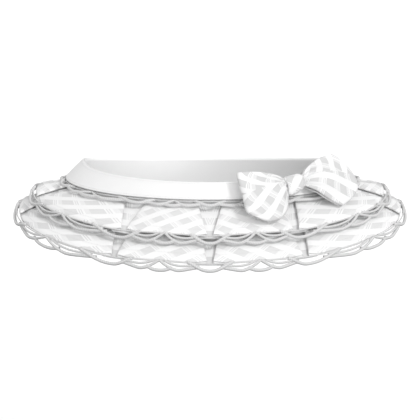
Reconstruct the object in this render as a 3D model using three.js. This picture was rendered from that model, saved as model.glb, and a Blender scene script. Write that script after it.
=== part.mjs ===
/**
 * Tartan mini skirt, standing open as if worn: a smooth flared yoke on an inner facing, two tiers of
 * box-pleated flounces, three rows of corded lace and a bow on the yoke.
 *
 * Millimetres, +Z up, front towards -Y. The origin is the middle of the waist opening, at the height
 * of its front and side edge. Angles run round the waist from the front (0) to the wearer's left.
 */
import * as THREE from 'three';

// ---------------------------------------------------------------- driving dimensions (mm, degrees)

const CLOTH = 1.2;              // thickness of a flounce or ribbon
const YOKE_CLOTH = 1.4;         // the yoke is doubled
const SEAM_GAP = 0.3;           // clearance between two pieces at a seam
const ROUND_STEPS = 36;         // facets round half of a smooth layer

/** A ring round the body: half an ellipse in front and another behind, each tilted in height. */
const ring = (half_width, front, back, z_side, z_front, z_back) =>
  ({ half_width, front, back, z_side, z_front, z_back });

/** Middle surface of the yoke, from the waist edge to its lower edge. */
const YOKE = [
  //                  half_width  front   back   z_side z_front z_back
  { drop: 0.0, ...ring(161.3,     133.3,  84.3,    0,     0,    -18) },
  { drop: 0.5, ...ring(173.2,     139.8,  94.2,  -11.2,  -8.6,  -27) },
  { drop: 1.0, ...ring(184.5,     146.4, 103.5,  -22.5, -17.5,  -36.5) },
];

/** Middle surface of the facing, the smooth inner skirt that the tiers are sewn to. */
const FACING = [
  { drop: 0.0, ...ring(159.7,     131.7,  82.7,   -0.3,  -0.3,  -18.3) },
  { drop: 0.3, ...ring(170.0,     133.2,  88.4,  -23,   -20,    -36) },
  { drop: 0.6, ...ring(176.2,     136.2,  93.2,  -43,   -42,    -53) },
  { drop: 1.0, ...ring(181.0,     141.0,  97.5,  -69,   -69,    -75) },
];

/** Middle surface of the panels of each tier, from its hidden seam to its hem. */
const TIER_1 = [
  { drop: 0.0, ...ring(175.5,     139.0,  95.5,  -19.5, -14.5,  -33.5) },
  { drop: 0.2, ...ring(181.5,     142.5,  99.0,  -30.3, -24.8,  -43.8) },
  { drop: 1.0, ...ring(223.0,     194.0, 148.0,  -34.5, -44.5,  -62) },
];
const TIER_2 = [
  { drop: 0.0, ...ring(179.0,     140.5,  98.6,  -38.5, -34,    -53) },
  { drop: 0.4, ...ring(205.0,     165.0, 122.0,  -43.5, -44,    -62.5) },
  { drop: 1.0, ...ring(245.5,     215.0, 168.0,  -55.5, -69.5,  -87) },
];

/** Each lace row hangs from its first ring down to its second. */
const LACE_YOKE = [
  { drop: 0, ...ring(183.7, 145.2, 102.8, -25.2, -19.8, -38.9) },
  { drop: 1, ...ring(194.0, 154.5, 112.0, -26.6, -24.4, -43.8) },
];
const LACE_TIER_1 = [
  { drop: 0, ...ring(225.5, 196.3, 150.4, -36.1, -46.3, -63.8) },
  { drop: 1, ...ring(230.3, 200.9, 155.1, -42.4, -53.7, -71.3) },
];
const LACE_TIER_2 = [
  { drop: 0, ...ring(247.7, 217.4, 170.4, -57.7, -71.9, -89.3) },
  { drop: 1, ...ring(250.0, 220.8, 173.6, -65.6, -79.4, -96.7) },
];

/**
 * Inverted box pleats of a tier: the angle at the hem, how much farther round they start at the seam,
 * and half of the gap between panels at the seam and at the hem.
 */
const PLEATS = [
  { angle: -132, lean: 0, gap_top: 15, gap_hem: 7, fold: 10 },
  { angle: -75,  lean: 0, gap_top: 18, gap_hem: 9, fold: 9 },
  { angle: -26,  lean: -3.5, gap_top: 17, gap_hem: 4.8, fold: 10 },
  { angle: 0,    lean: 0, gap_top: 17, gap_hem: 4.8, fold: 10 },
  { angle: 26,   lean: 3.5, gap_top: 17, gap_hem: 4.8, fold: 10 },
  { angle: 75,   lean: 0, gap_top: 18, gap_hem: 9, fold: 9 },
  { angle: 132,  lean: 0, gap_top: 15, gap_hem: 7, fold: 10 },
  { angle: 180,  lean: 0, gap_top: 15, gap_hem: 7, fold: 10 },
];

/** Rows of a tier from its seam to its rolled hem. */
const TIER_ROWS = [
  // drop: how far down; layer: step between pleat layers; pillow: how far a panel swells outwards;
  // roll and tuck: how far the hem turns inwards and back up.
  { drop: 0.00, layer: 2.2, pillow: -3.8, roll: 0.0, tuck: 0.0 },
  { drop: 0.20, layer: 2.3, pillow: -0.8, roll: 0.0, tuck: 0.0 },
  { drop: 0.60, layer: 2.7, pillow: 2.2, roll: 0.0, tuck: 0.0 },
  { drop: 0.96, layer: 2.7, pillow: 2.4, roll: 0.0, tuck: 0.0 },
  { drop: 1.00, layer: 2.7, pillow: 2.2, roll: 0.9, tuck: 0.0 },
  { drop: 1.00, layer: 2.7, pillow: 2.0, roll: 2.4, tuck: 1.8 },
];
const UNDERLAY_DROP = 0.6;      // how far a pleat's back layer hangs below the panels
const PANEL_CORNER_LIFT = 1.6;  // how far a panel's corner rises beside a pleat

/**
 * Middle lines of the cords that bound one lace repeat: u along the hem from one pleat to the next,
 * v down from the header. A gap is the open space that its cords enclose.
 */
const LACE_EDGE = [
  [0, 0.92], [0.12, 0.56], [0.3, 0.95], [0.39, 0.68], [0.5, 1.05],
  [0.61, 0.68], [0.7, 0.95], [0.88, 0.56],
];
const LACE_VINE_GAP = [[0.2, 0], [0.12, 0.56], [0.3, 0.95], [0.39, 0.68], [0.5, 0]];
const LACE_GAPS = {
  scallop: [[-0.2, 0], [-0.12, 0.56], [0, 0.92], [0.12, 0.56], [0.2, 0]],
  vine_left: LACE_VINE_GAP,
  drop_loop: [[0.5, 0], [0.39, 0.68], [0.5, 1.05], [0.61, 0.68]],
  vine_right: LACE_VINE_GAP.map(([u, v]) => [1 - u, v]).reverse(),
};
const LACE_CORD = 2.8;          // width and thickness of a cord
const LACE_HEADER = 1.4;        // height of the straight header that the cords hang from
const LACE_SWELL = 2.0;         // how far the header follows the swell of a panel
const LACE_CHORD = 16;          // longest straight stretch of the lace's outline
const LACE_DETAIL = 0.5;        // shortest side of a gap
const LACE_LEAST_GAP = 6;       // smallest gap that is cut, in square millimetres

/** Where the bow sits on the yoke and how it is turned. */
const BOW = {
  angle: 31.5, drop: 0.75, stand_off: 10.2, heading: 32, lean: 38, tilt: 6,
  knot_left: -10.5, knot_right: 13, knot_gap: 0.5, layer_gap: 1.5,
};

/** Sections of the knot along the bow. */
const KNOT = [
  // along: place; centre: middle height; half_height and half_depth: its size
  { along: 0.00, centre: 1.0, half_height: 10.5, half_depth: 6.5 },
  { along: 0.15, centre: 1.6, half_height: 12.0, half_depth: 8.4 },
  { along: 0.50, centre: 3.5, half_height: 11.6, half_depth: 9.2 },
  { along: 0.85, centre: 6.2, half_height: 10.6, half_depth: 8.4 },
  { along: 1.00, centre: 7.0, half_height: 9.2, half_depth: 6.5 },
];
const KNOT_SIDES = 14;

/**
 * Ribs of each ribbon loop, from its top edge to its bottom edge. Each leaves the knot at the height
 * start, bends towards (bend_out, bend_up) and ends at (end_out, end_up); rest is the height of the
 * back layer there above the bow's plane.
 */
const LEFT_LOOP = [
  { start: 9.0,  bend_out: 34, bend_up: 22,  end_out: 66, end_up: 21,  rest: -5, puff: 4 },
  { start: 7.2,  bend_out: 36, bend_up: 15,  end_out: 67, end_up: 13,  rest: -5, puff: 8 },
  { start: 5.0,  bend_out: 38, bend_up: 7,   end_out: 67, end_up: 4,   rest: -5, puff: 11 },
  { start: 2.4,  bend_out: 40, bend_up: -2,  end_out: 67, end_up: -7,  rest: -4, puff: 13 },
  { start: -0.4, bend_out: 38, bend_up: -15, end_out: 69, end_up: -19, rest: -2, puff: 12 },
  { start: -3.2, bend_out: 35, bend_up: -36, end_out: 71, end_up: -30, rest: 2,  puff: 9 },
  { start: -6.0, bend_out: 31, bend_up: -62, end_out: 68, end_up: -37, rest: 6,  puff: 5 },
];
const RIGHT_LOOP = [
  { start: 14.0, bend_out: 32, bend_up: 34,  end_out: 68, end_up: 43,  rest: -5, puff: 4 },
  { start: 12.0, bend_out: 40, bend_up: 29,  end_out: 80, end_up: 32,  rest: -5, puff: 8 },
  { start: 10.0, bend_out: 44, bend_up: 21,  end_out: 87, end_up: 19,  rest: -5, puff: 11 },
  { start: 7.5,  bend_out: 46, bend_up: 13,  end_out: 90, end_up: 6,   rest: -4, puff: 13 },
  { start: 5.0,  bend_out: 44, bend_up: 2,   end_out: 86, end_up: -5,  rest: -1, puff: 12 },
  { start: 2.6,  bend_out: 38, bend_up: -10, end_out: 72, end_up: -18, rest: 3,  puff: 9 },
  { start: 0.4,  bend_out: 28, bend_up: -17, end_out: 52, end_up: -30, rest: 7,  puff: 5 },
];
const LOOP_FRONT = [0, 0.12, 0.28, 0.46, 0.64, 0.8, 0.92, 1];  // places along a rib, knot to end
const LOOP_BACK = [1, 0.8, 0.55, 0.3, 0.12, 0];
const LOOP_FOLD = 2.6;          // how far the turned end reaches past the ribs

const WHITE_CLOTH = new THREE.MeshStandardMaterial({ color: '#f7f7f7', roughness: 0.55, metalness: 0 });
const TARTAN = new THREE.MeshStandardMaterial({ color: '#eeeeee', roughness: 0.8, metalness: 0 });
const LACE_WHITE = new THREE.MeshStandardMaterial({ color: '#e2e2e2', roughness: 0.75, metalness: 0 });

// ---------------------------------------------------------------- small helpers

const radians = THREE.MathUtils.degToRad;
const { lerp, clamp } = THREE.MathUtils;

/** Point of a ring at an angle in radians. */
function ringPoint(r, angle) {
  const ahead = Math.cos(angle);
  const [depth, z_end] = ahead >= 0 ? [r.front, r.z_front] : [r.back, r.z_back];
  return new THREE.Vector3(
    r.half_width * Math.sin(angle), -depth * ahead, lerp(r.z_side, z_end, Math.abs(ahead)));
}

/** Point of a layer given by rings: drop runs from 0 at its top to 1, and on past its last ring. */
function layerPoint(layer, angle, drop) {
  let i = 0;
  while (i < layer.length - 2 && drop > layer[i + 1].drop) i += 1;
  const share = (drop - layer[i].drop) / (layer[i + 1].drop - layer[i].drop);
  return ringPoint(layer[i], angle).lerp(ringPoint(layer[i + 1], angle), share);
}

/** Unit vectors of a layer at a point: along the ring, down the slope and outwards, and its scales. */
function layerFrame(layer, angle, drop) {
  const small = 1e-3;
  const at = layerPoint(layer, angle, drop);
  const along = layerPoint(layer, angle + small, drop).sub(at).divideScalar(small);
  const down = layerPoint(layer, angle, drop + small).sub(at).divideScalar(small);
  const per_radian = along.length();
  const per_drop = down.length();
  along.normalize();
  down.addScaledVector(along, -down.dot(along)).normalize();
  return { at, along, down, out: new THREE.Vector3().crossVectors(down, along), per_radian, per_drop };
}

/** Six times the signed volume under a triangle list. */
function signedVolume(points, triangles) {
  return triangles.reduce((sum, [a, b, c]) =>
    sum + points[a].dot(new THREE.Vector3().crossVectors(points[b], points[c])), 0);
}

/** Geometry of a closed body from its points and triangles, with its faces turned outwards. */
function bodyGeometry(points, triangles) {
  const turned = signedVolume(points, triangles) < 0
    ? triangles.map(([a, b, c]) => [a, c, b]) : triangles;
  const geometry = new THREE.BufferGeometry();
  geometry.setAttribute('position', new THREE.Float32BufferAttribute(
    points.flatMap((p) => [p.x, p.y, p.z]), 3));
  geometry.setIndex(turned.flat());
  geometry.computeVertexNormals();
  return geometry;
}

/** Normal of each point of a grid, with the mitre that keeps a wall's thickness over a fold. */
function gridNormals(grid) {
  const rows = grid.length;
  const columns = grid[0].length;
  const faceNormal = (r, c) => {
    if (r < 0 || c < 0 || r >= rows - 1 || c >= columns - 1) return null;
    const across = grid[r + 1][c + 1].clone().sub(grid[r][c]);
    return across.cross(grid[r][c + 1].clone().sub(grid[r + 1][c])).normalize();
  };
  return grid.map((line, r) => line.map((_, c) => {
    const faces = [[r, c], [r - 1, c], [r, c - 1], [r - 1, c - 1]]
      .map(([i, j]) => faceNormal(i, j)).filter(Boolean);
    const mean = faces.reduce((sum, n) => sum.add(n), new THREE.Vector3()).normalize();
    const spread = faces.reduce((sum, n) => sum + n.dot(mean), 0) / faces.length;
    return mean.multiplyScalar(Math.min(1 / Math.max(spread, 0.1), MITRE_LIMIT));
  }));
}
const MITRE_LIMIT = 1.35;

/** Closed wall of a thickness about a grid of points, [row][column]. */
function wallGeometry(grid, thickness) {
  const normals = gridNormals(grid);
  const rows = grid.length;
  const columns = grid[0].length;
  const points = [-0.5, 0.5].flatMap((side) => grid.flatMap((line, r) =>
    line.map((p, c) => p.clone().addScaledVector(normals[r][c], side * thickness))));
  const at = (side, r, c) => (side * rows + r) * columns + c;
  const triangles = [];
  const quad = (a, b, c, d) => triangles.push([a, b, c], [a, c, d]);
  for (let r = 0; r < rows - 1; r += 1) {
    for (let c = 0; c < columns - 1; c += 1) {
      quad(at(0, r, c), at(0, r, c + 1), at(0, r + 1, c + 1), at(0, r + 1, c));
      quad(at(1, r, c), at(1, r + 1, c), at(1, r + 1, c + 1), at(1, r, c + 1));
    }
  }
  for (let r = 0; r < rows - 1; r += 1) {
    quad(at(0, r, 0), at(0, r + 1, 0), at(1, r + 1, 0), at(1, r, 0));
    quad(at(0, r + 1, columns - 1), at(0, r, columns - 1), at(1, r, columns - 1), at(1, r + 1, columns - 1));
  }
  for (let c = 0; c < columns - 1; c += 1) {
    quad(at(0, 0, c + 1), at(0, 0, c), at(1, 0, c), at(1, 0, c + 1));
    quad(at(0, rows - 1, c), at(0, rows - 1, c + 1), at(1, rows - 1, c + 1), at(1, rows - 1, c));
  }
  return bodyGeometry(points, triangles);
}

// ---------------------------------------------------------------- smooth layers and tiers

/** Angles of the front or back half, from seam to seam; edge is the depth of the layer there. */
function halfRange(half, depth) {
  const shy = Math.asin(SEAM_GAP / depth);
  return half === 'front'
    ? [-Math.PI / 2 + shy, Math.PI / 2 - shy]
    : [Math.PI / 2 + shy, 3 * Math.PI / 2 - shy];
}

/** Wall of a smooth layer, front or back. */
function smoothHalf(layer, half, thickness) {
  const grid = layer.map(({ drop, ...r }) => {
    const [from, to] = halfRange(half, r[half]);
    return Array.from({ length: ROUND_STEPS + 1 }, (_, i) => ringPoint(r, lerp(from, to, i / ROUND_STEPS)));
  });
  return wallGeometry(grid, thickness);
}

/** The pleats with their angles in radians, from the left back round to the right back. */
const pleatsInOrder = PLEATS.map((p) => ({ ...p, at: radians(p.angle) }));

/** Pleat number i, counted on round the body without end. */
function pleat(i) {
  const count = pleatsInOrder.length;
  const found = pleatsInOrder[((i % count) + count) % count];
  return { ...found, at: found.at + 2 * Math.PI * Math.floor(i / count) };
}

/** One pleat's columns: how far from its middle, on which layer, and what its hem does. */
const PLEAT_COLUMNS = [
  // gaps, folds and turns: multiples of the half gap, the fold-back and half a layer step
  { gaps: -1, folds: -1.25, turns: 0,   level: 0,    lift: 0, hang: 0,   rolled: 0.3 },
  { gaps: -1, folds: 0,     turns: 0,   level: 0,    lift: 1, hang: 0,   rolled: 0.2 },
  { gaps: -1, folds: 0,     turns: 0.8, level: -0.5, lift: 1, hang: 0,   rolled: 0.2 },
  { gaps: -1, folds: 0,     turns: 0,   level: -1,   lift: 0, hang: 0,   rolled: 0.2 },
  { gaps: -1, folds: -1,    turns: 0,   level: -1,   lift: 0, hang: 0,   rolled: 0.2 },
  { gaps: -1, folds: -1,    turns: -0.8, level: -1.5, lift: 0, hang: 0,   rolled: 0.2 },
  { gaps: -1, folds: -1,    turns: 0,   level: -2,   lift: 0, hang: 0.5, rolled: 0.2 },
  { gaps: 0,  folds: 0,     turns: 0,   level: -2.1, lift: 0, hang: 1,   rolled: 0.2 },
];
const WHOLE_PLEAT = [
  ...PLEAT_COLUMNS,
  ...PLEAT_COLUMNS.slice(0, -1).reverse().map((c) =>
    ({ ...c, gaps: -c.gaps, folds: -c.folds, turns: -c.turns })),
];

/** Angle of a pleat's middle at a drop. */
const pleatAngle = (p, drop) => p.at + radians(p.lean) * (1 - clamp(drop, 0, 1));

/** Half gap of a pleat at a drop. */
const halfGap = (p, drop) => lerp(p.gap_top, p.gap_hem, clamp(drop, 0, 1));

/** Angle at which the panel beside pleat p begins, on side -1 or 1, at a drop. */
function panelEdge(tier, p, side, drop) {
  const middle = pleatAngle(p, drop);
  const { per_radian } = layerFrame(tier, middle, Math.min(drop, 1));
  return middle + side * halfGap(p, drop) / per_radian;
}

/** How far a panel swells at an angle between two pleats. */
function panelSwell(tier, left, right, angle, row) {
  const from = panelEdge(tier, left, 1, row.drop);
  const to = panelEdge(tier, right, -1, row.drop);
  return row.pillow * Math.sin(Math.PI * clamp((angle - from) / (to - from), 0, 1));
}

/** Point of a tier at an angle: level is its height above the panels, hang its extra length. */
function tierPoint(tier, angle, row, level, hang, rolled) {
  const { at, down, out, per_drop } = layerFrame(tier, angle, row.drop);
  const is_hem = row.drop > 0.9 ? 1 : 0;
  const slide = is_hem * hang - row.tuck * rolled;
  return at.addScaledVector(down, Math.min(slide, per_drop))
    .addScaledVector(out, level - row.roll * rolled);
}

/** Column of a pleat as a function of the row. */
function pleatColumn(tier, index, column) {
  const p = pleat(index);
  return (row) => {
    const middle = pleatAngle(p, row.drop);
    const { per_radian } = layerFrame(tier, middle, row.drop);
    const reach = column.gaps * halfGap(p, row.drop) + column.folds * p.fold
      + column.turns * row.layer / 2;
    const angle = middle + reach / per_radian;
    const swell = column.level > -0.1 ? panelSwell(
      tier, pleat(index + (reach < 0 ? -1 : 0)), pleat(index + (reach < 0 ? 0 : 1)), angle, row) : 0;
    const hang = column.hang * UNDERLAY_DROP - column.lift * PANEL_CORNER_LIFT;
    return tierPoint(tier, angle, row, column.level * row.layer + swell, hang, column.rolled);
  };
}

/** Columns of the panel between pleats index and index + 1, in a span of angles. */
function panelColumns(tier, index, from, to, spacing) {
  const count = Math.max(1, Math.round(Math.abs(to(TIER_ROWS[0]) - from(TIER_ROWS[0])) / spacing));
  return Array.from({ length: count }, (_, i) => (i + 1) / (count + 1)).map((share) => (row) => {
    const angle = lerp(from(row), to(row), share);
    return tierPoint(tier, angle, row, panelSwell(tier, pleat(index), pleat(index + 1), angle, row), 0, 1);
  });
}

const PANEL_SPACING = radians(9);

/** Wall of one tier, front or back, with its box pleats. */
function tierHalf(tier, half) {
  const first = half === 'front' ? 1 : 6;
  const last = half === 'front' ? 5 : 8;
  const middle = half === 'front' ? 0 : Math.PI;
  const seam = (side) => (row) => halfRange(half, Math.abs(layerPoint(tier, middle, row.drop).y))[side];
  const seamColumn = (index, side) => (row) => {
    const angle = seam(side)(row);
    return tierPoint(tier, angle, row, panelSwell(tier, pleat(index), pleat(index + 1), angle, row), 0, 1);
  };
  const beyond = (index, side) => (row) => {
    const p = pleat(index);
    const middle = pleatAngle(p, row.drop);
    const { per_radian } = layerFrame(tier, middle, row.drop);
    return middle + side * (halfGap(p, row.drop) + 1.25 * p.fold) / per_radian;
  };
  const columns = [seamColumn(first - 1, 0)];
  columns.push(...panelColumns(tier, first - 1, seam(0), beyond(first, -1), PANEL_SPACING));
  for (let i = first; i <= last; i += 1) {
    columns.push(...WHOLE_PLEAT.map((column) => pleatColumn(tier, i, column)));
    const end = i === last ? seam(1) : beyond(i + 1, -1);
    columns.push(...panelColumns(tier, i, beyond(i, 1), end, PANEL_SPACING));
  }
  columns.push(seamColumn(last, 1));
  return wallGeometry(TIER_ROWS.map((row) => columns.map((column) => column(row))), CLOTH);
}

// ---------------------------------------------------------------- lace

/** An open line of points moved to its left by a distance, with mitred corners. */
function offsetLine(line, distance) {
  const normal = (i) => {
    const along = line[i + 1].clone().sub(line[i]);
    return new THREE.Vector2(-along.y, along.x).normalize();
  };
  return line.map((p, i) => {
    const before = normal(Math.max(i - 1, 0));
    const after = normal(Math.min(i, line.length - 2));
    const mean = before.clone().add(after).normalize();
    return p.clone().addScaledVector(mean, distance / mean.dot(after));
  });
}

/** The part of a convex loop that lies a distance or more to the left of a line through a point. */
function clipLoop(loop, through, direction, distance) {
  const depthOf = (p) => direction.cross(p.clone().sub(through)) - distance;
  const kept = loop.flatMap((p, i) => {
    const next = loop[(i + 1) % loop.length];
    const [here, there] = [depthOf(p), depthOf(next)];
    const crossing = here * there < 0 ? [p.clone().lerp(next, here / (here - there))] : [];
    return here >= 0 ? [p, ...crossing] : crossing;
  });
  return kept.filter((p, i) => p.distanceTo(kept[(i + 1) % kept.length]) > LACE_DETAIL);
}

/** What is left of a convex loop when each of its sides moves inwards by a distance. */
function insetLoop(loop, distance) {
  const corners = THREE.ShapeUtils.isClockWise(loop) ? [...loop].reverse() : loop;
  return corners.reduce((kept, from, i) => {
    const direction = corners[(i + 1) % corners.length].clone().sub(from).normalize();
    return clipLoop(kept, from, direction, distance);
  }, corners);
}

/** A closed loop with its long sides split, so that they can follow a curved row. */
function splitLoop(loop) {
  return loop.flatMap((p, i) => {
    const next = loop[(i + 1) % loop.length];
    const parts = Math.ceil(p.distanceTo(next) / LACE_CHORD);
    return Array.from({ length: parts }, (_, k) => p.clone().lerp(next, k / parts));
  });
}

/** Where each pleat lies along a lace row in millimetres, for pleats first to last. */
function laceStations(row, first, last) {
  const stations = [{ along: 0, angle: pleat(first).at }];
  for (let i = first; i < last; i += 1) {
    const [from, to] = [pleat(i).at, pleat(i + 1).at];
    const { per_radian } = layerFrame(row, (from + to) / 2, 0.5);
    stations.push({ along: stations.at(-1).along + per_radian * (to - from), angle: to });
  }
  return stations;
}

/** Value of one column of the stations where another has a given value. */
function between(stations, from_column, value, to_column) {
  const found = stations.findIndex((s) => s[from_column] > value);
  const [a, b] = [stations[Math.max(found, 1) - 1], stations[Math.max(found, 1)]];
  return lerp(a[to_column], b[to_column], (value - a[from_column]) / (b[from_column] - a[from_column]));
}

/** Outline and gaps of a stretch of lace between two places along it: x is along, y is down. */
function laceLoops(stations, drop, start, end) {
  const place = (repeat, [u, v]) => {
    const here = stations[repeat];
    const other = stations[u < 0 ? repeat - 1 : repeat + 1];
    return new THREE.Vector2(here.along + Math.abs(u) * (other.along - here.along), v * drop);
  };
  const half = LACE_CORD / 2;
  const top = -LACE_HEADER / 2;
  const repeats = Array.from({ length: stations.length - 1 }, (_, i) => i);

  const edge = offsetLine(repeats.flatMap((i) => LACE_EDGE.map((p) => place(i, p))), half);
  const edgeAt = (x) => {
    const next = edge.findIndex((p) => p.x > x);
    const [a, b] = [edge[next - 1], edge[next]];
    return new THREE.Vector2(x, lerp(a.y, b.y, (x - a.x) / (b.x - a.x)));
  };
  const lower = edge.filter((p) => p.x > start + half && p.x < end - half).reverse();
  const outline = [
    new THREE.Vector2(start, top), new THREE.Vector2(end, top), edgeAt(end), ...lower, edgeAt(start)];

  const header = top + LACE_HEADER - half;
  const [left, right] = [new THREE.Vector2(start, 0), new THREE.Vector2(end, 0)];
  const gaps = repeats
    .flatMap((i) => Object.values(LACE_GAPS).filter((gap) => i > 0 || gap[0][0] >= 0)
      .map((gap) => gap.map((p) => place(i, p)).map((p) => (p.y > 0 ? p : p.setY(header)))))
    .map((gap) => insetLoop(gap, half))
    .map((gap) => clipLoop(gap, left, new THREE.Vector2(0, -1), half))
    .map((gap) => clipLoop(gap, right, new THREE.Vector2(0, 1), half))
    .filter((gap) => gap.length > 2 && Math.abs(THREE.ShapeUtils.area(gap)) > LACE_LEAST_GAP);
  return [outline, ...gaps].map(splitLoop);
}

/** How far across its panel an angle lies, 0 and 1 at the pleats on either side. */
function panelShare(angle) {
  let i = Math.floor((angle - pleat(0).at) / (2 * Math.PI)) * pleatsInOrder.length;
  while (pleat(i + 1).at < angle) i += 1;
  return (angle - pleat(i).at) / (pleat(i + 1).at - pleat(i).at);
}

/** Wall of one row of lace, front or back: a pierced band whose open parts are its gaps. */
function laceHalf(row, swell, half) {
  const stations = half === 'front' ? laceStations(row, 0, 6) : laceStations(row, 5, 9);
  const [start, end] = halfRange(half, row[0][half])
    .map((angle) => between(stations, 'angle', angle, 'along'));
  const { per_drop } = layerFrame(row, 0, 0.5);
  const angleAt = (x) => between(stations, 'along', x, 'angle');

  // The loops are filled in plan, where the row is as curved as it really is.
  const inPlan = ({ x, y }) => {
    const { at, out } = layerFrame(row, angleAt(x), 0);
    const outwards = new THREE.Vector2(out.x, out.y).normalize();
    return new THREE.Vector2(at.x, at.y).addScaledVector(outwards, y);
  };
  const turn = (loop, clockwise) =>
    (THREE.ShapeUtils.isClockWise(loop.map(inPlan)) === clockwise ? loop : [...loop].reverse());
  const loops = laceLoops(stations, per_drop, start, end).map((loop, i) => turn(loop, i > 0));
  const flat = loops.flat();
  const plan = flat.map(inPlan);
  const [outline, ...gaps] = loops.map((loop) => loop.map(inPlan));
  const filled = THREE.ShapeUtils.triangulateShape(outline, gaps);
  const area = filled.reduce((sum, face) => sum + THREE.ShapeUtils.area(face.map((k) => plan[k])), 0);
  const faces = filled.map(([a, b, c]) => (area < 0 ? [a, c, b] : [a, b, c]));

  const points = [-0.5, 0.5].flatMap((side) => flat.map(({ x, y }) => {
    const { at, out } = layerFrame(row, angleAt(x), y / per_drop);
    const rise = swell * Math.max(0, 1 - y / per_drop) * Math.sin(Math.PI * panelShare(angleAt(x)));
    return at.addScaledVector(out, side * LACE_CORD).setZ(at.z + rise);
  }));
  const count = flat.length;
  const triangles = faces.flatMap(([a, b, c]) => [[a, b, c], [a + count, c + count, b + count]]);
  let start_of_loop = 0;
  for (const loop of loops) {
    for (let k = 0; k < loop.length; k += 1) {
      const [i, j] = [start_of_loop + k, start_of_loop + (k + 1) % loop.length];
      triangles.push([j, i, i + count], [j, i + count, j + count]);
    }
    start_of_loop += loop.length;
  }
  return bodyGeometry(points, triangles);
}

// ---------------------------------------------------------------- bow

/** The bow's own axes on the yoke: origin, out along the ribbon, up, and away from the skirt. */
function bowAxes() {
  const seat = layerFrame(YOKE, radians(BOW.angle), BOW.drop);
  const [heading, lean, tilt] = [BOW.heading, BOW.lean, BOW.tilt].map(radians);
  const level = new THREE.Vector3(Math.cos(heading), Math.sin(heading), 0);
  const away = new THREE.Vector3(
    Math.sin(heading) * Math.cos(lean), -Math.cos(heading) * Math.cos(lean), Math.sin(lean));
  const up = new THREE.Vector3().crossVectors(away, level);
  const along = level.clone().applyAxisAngle(away, -tilt);
  return {
    origin: seat.at.addScaledVector(seat.out, BOW.stand_off),
    along, up: up.applyAxisAngle(away, -tilt), away,
  };
}
const bow = bowAxes();

/** Point of the bow: along the ribbon to the right, up and away from the skirt. */
function bowPoint(along, up, away) {
  return bow.origin.clone().addScaledVector(bow.along, along).addScaledVector(bow.up, up)
    .addScaledVector(bow.away, away);
}

/** Point of a loop's rib: share runs from the knot to its end. */
function ribPoint(rib, knot_edge, share) {
  const rest = 1 - share;
  return {
    out: rest * rest * knot_edge + 2 * rest * share * rib.bend_out + share * share * rib.end_out,
    up: rest * rest * rib.start + 2 * rest * share * rib.bend_up + share * share * rib.end_up,
  };
}

/** One loop of ribbon: out over the front, round its end and back behind. side is -1 or 1. */
function bowLoop(ribs, side) {
  const knot_edge = (side < 0 ? -BOW.knot_left : BOW.knot_right) + BOW.knot_gap + CLOTH / 4;
  const backLayer = (rib, share) => lerp(-BOW.layer_gap, rib.rest, Math.min(1, share * 3));
  const grid = ribs.map((rib) => {
    const front = LOOP_FRONT.map((share) => {
      const { out, up } = ribPoint(rib, knot_edge, share);
      const swell = rib.puff * Math.sin(Math.PI * share ** 0.7) * (1 - 0.35 * share);
      const turn = lerp(BOW.layer_gap, rib.rest + 2 * LOOP_FOLD, Math.min(1, share * 3));
      return bowPoint(side * out, up, turn + swell);
    });
    const end = ribPoint(rib, knot_edge, 1);
    const fold = bowPoint(side * (end.out + LOOP_FOLD), end.up, rib.rest + LOOP_FOLD);
    const back = LOOP_BACK.map((share) => {
      const { out, up } = ribPoint(rib, knot_edge, share);
      return bowPoint(side * out, up, backLayer(rib, share));
    });
    return [...front, fold, ...back];
  });
  return wallGeometry(grid, CLOTH);
}

/** The knot: a rounded band of cloth between the loops. */
function bowKnot() {
  const rings = KNOT.map(({ along, centre, half_height, half_depth }) =>
    Array.from({ length: KNOT_SIDES }, (_, k) => {
      const angle = 2 * Math.PI * k / KNOT_SIDES;
      return bowPoint(lerp(BOW.knot_left, BOW.knot_right, along),
        centre + half_height * Math.cos(angle), half_depth * Math.sin(angle));
    }));
  const points = rings.flat();
  const triangles = [];
  for (let r = 0; r < rings.length - 1; r += 1) {
    for (let k = 0; k < KNOT_SIDES; k += 1) {
      const [a, b] = [r * KNOT_SIDES + k, r * KNOT_SIDES + (k + 1) % KNOT_SIDES];
      triangles.push([a, b, b + KNOT_SIDES], [a, b + KNOT_SIDES, a + KNOT_SIDES]);
    }
  }
  const last = (rings.length - 1) * KNOT_SIDES;
  for (let k = 1; k < KNOT_SIDES - 1; k += 1) {
    triangles.push([0, k + 1, k], [last, last + k, last + k + 1]);
  }
  return bodyGeometry(points, triangles);
}

// ---------------------------------------------------------------- the skirt

const group = new THREE.Group();
group.name = 'tartan_mini_skirt';

/** Add a named piece. */
function addPiece(name, geometry, material) {
  const mesh = new THREE.Mesh(geometry, material);
  mesh.name = name;
  group.add(mesh);
}

for (const half of ['front', 'back']) {
  addPiece(`yoke_${half}`, smoothHalf(YOKE, half, YOKE_CLOTH), WHITE_CLOTH);
  addPiece(`facing_${half}`, smoothHalf(FACING, half, CLOTH), WHITE_CLOTH);
  addPiece(`tier_1_${half}`, tierHalf(TIER_1, half), TARTAN);
  addPiece(`tier_2_${half}`, tierHalf(TIER_2, half), TARTAN);
  addPiece(`lace_yoke_${half}`, laceHalf(LACE_YOKE, 0, half), LACE_WHITE);
  addPiece(`lace_tier_1_${half}`, laceHalf(LACE_TIER_1, LACE_SWELL, half), LACE_WHITE);
  addPiece(`lace_tier_2_${half}`, laceHalf(LACE_TIER_2, LACE_SWELL, half), LACE_WHITE);
}
addPiece('bow_left', bowLoop(LEFT_LOOP, -1), TARTAN);
addPiece('bow_right', bowLoop(RIGHT_LOOP, 1), TARTAN);
addPiece('bow_knot', bowKnot(), TARTAN);

export default group;
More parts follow.
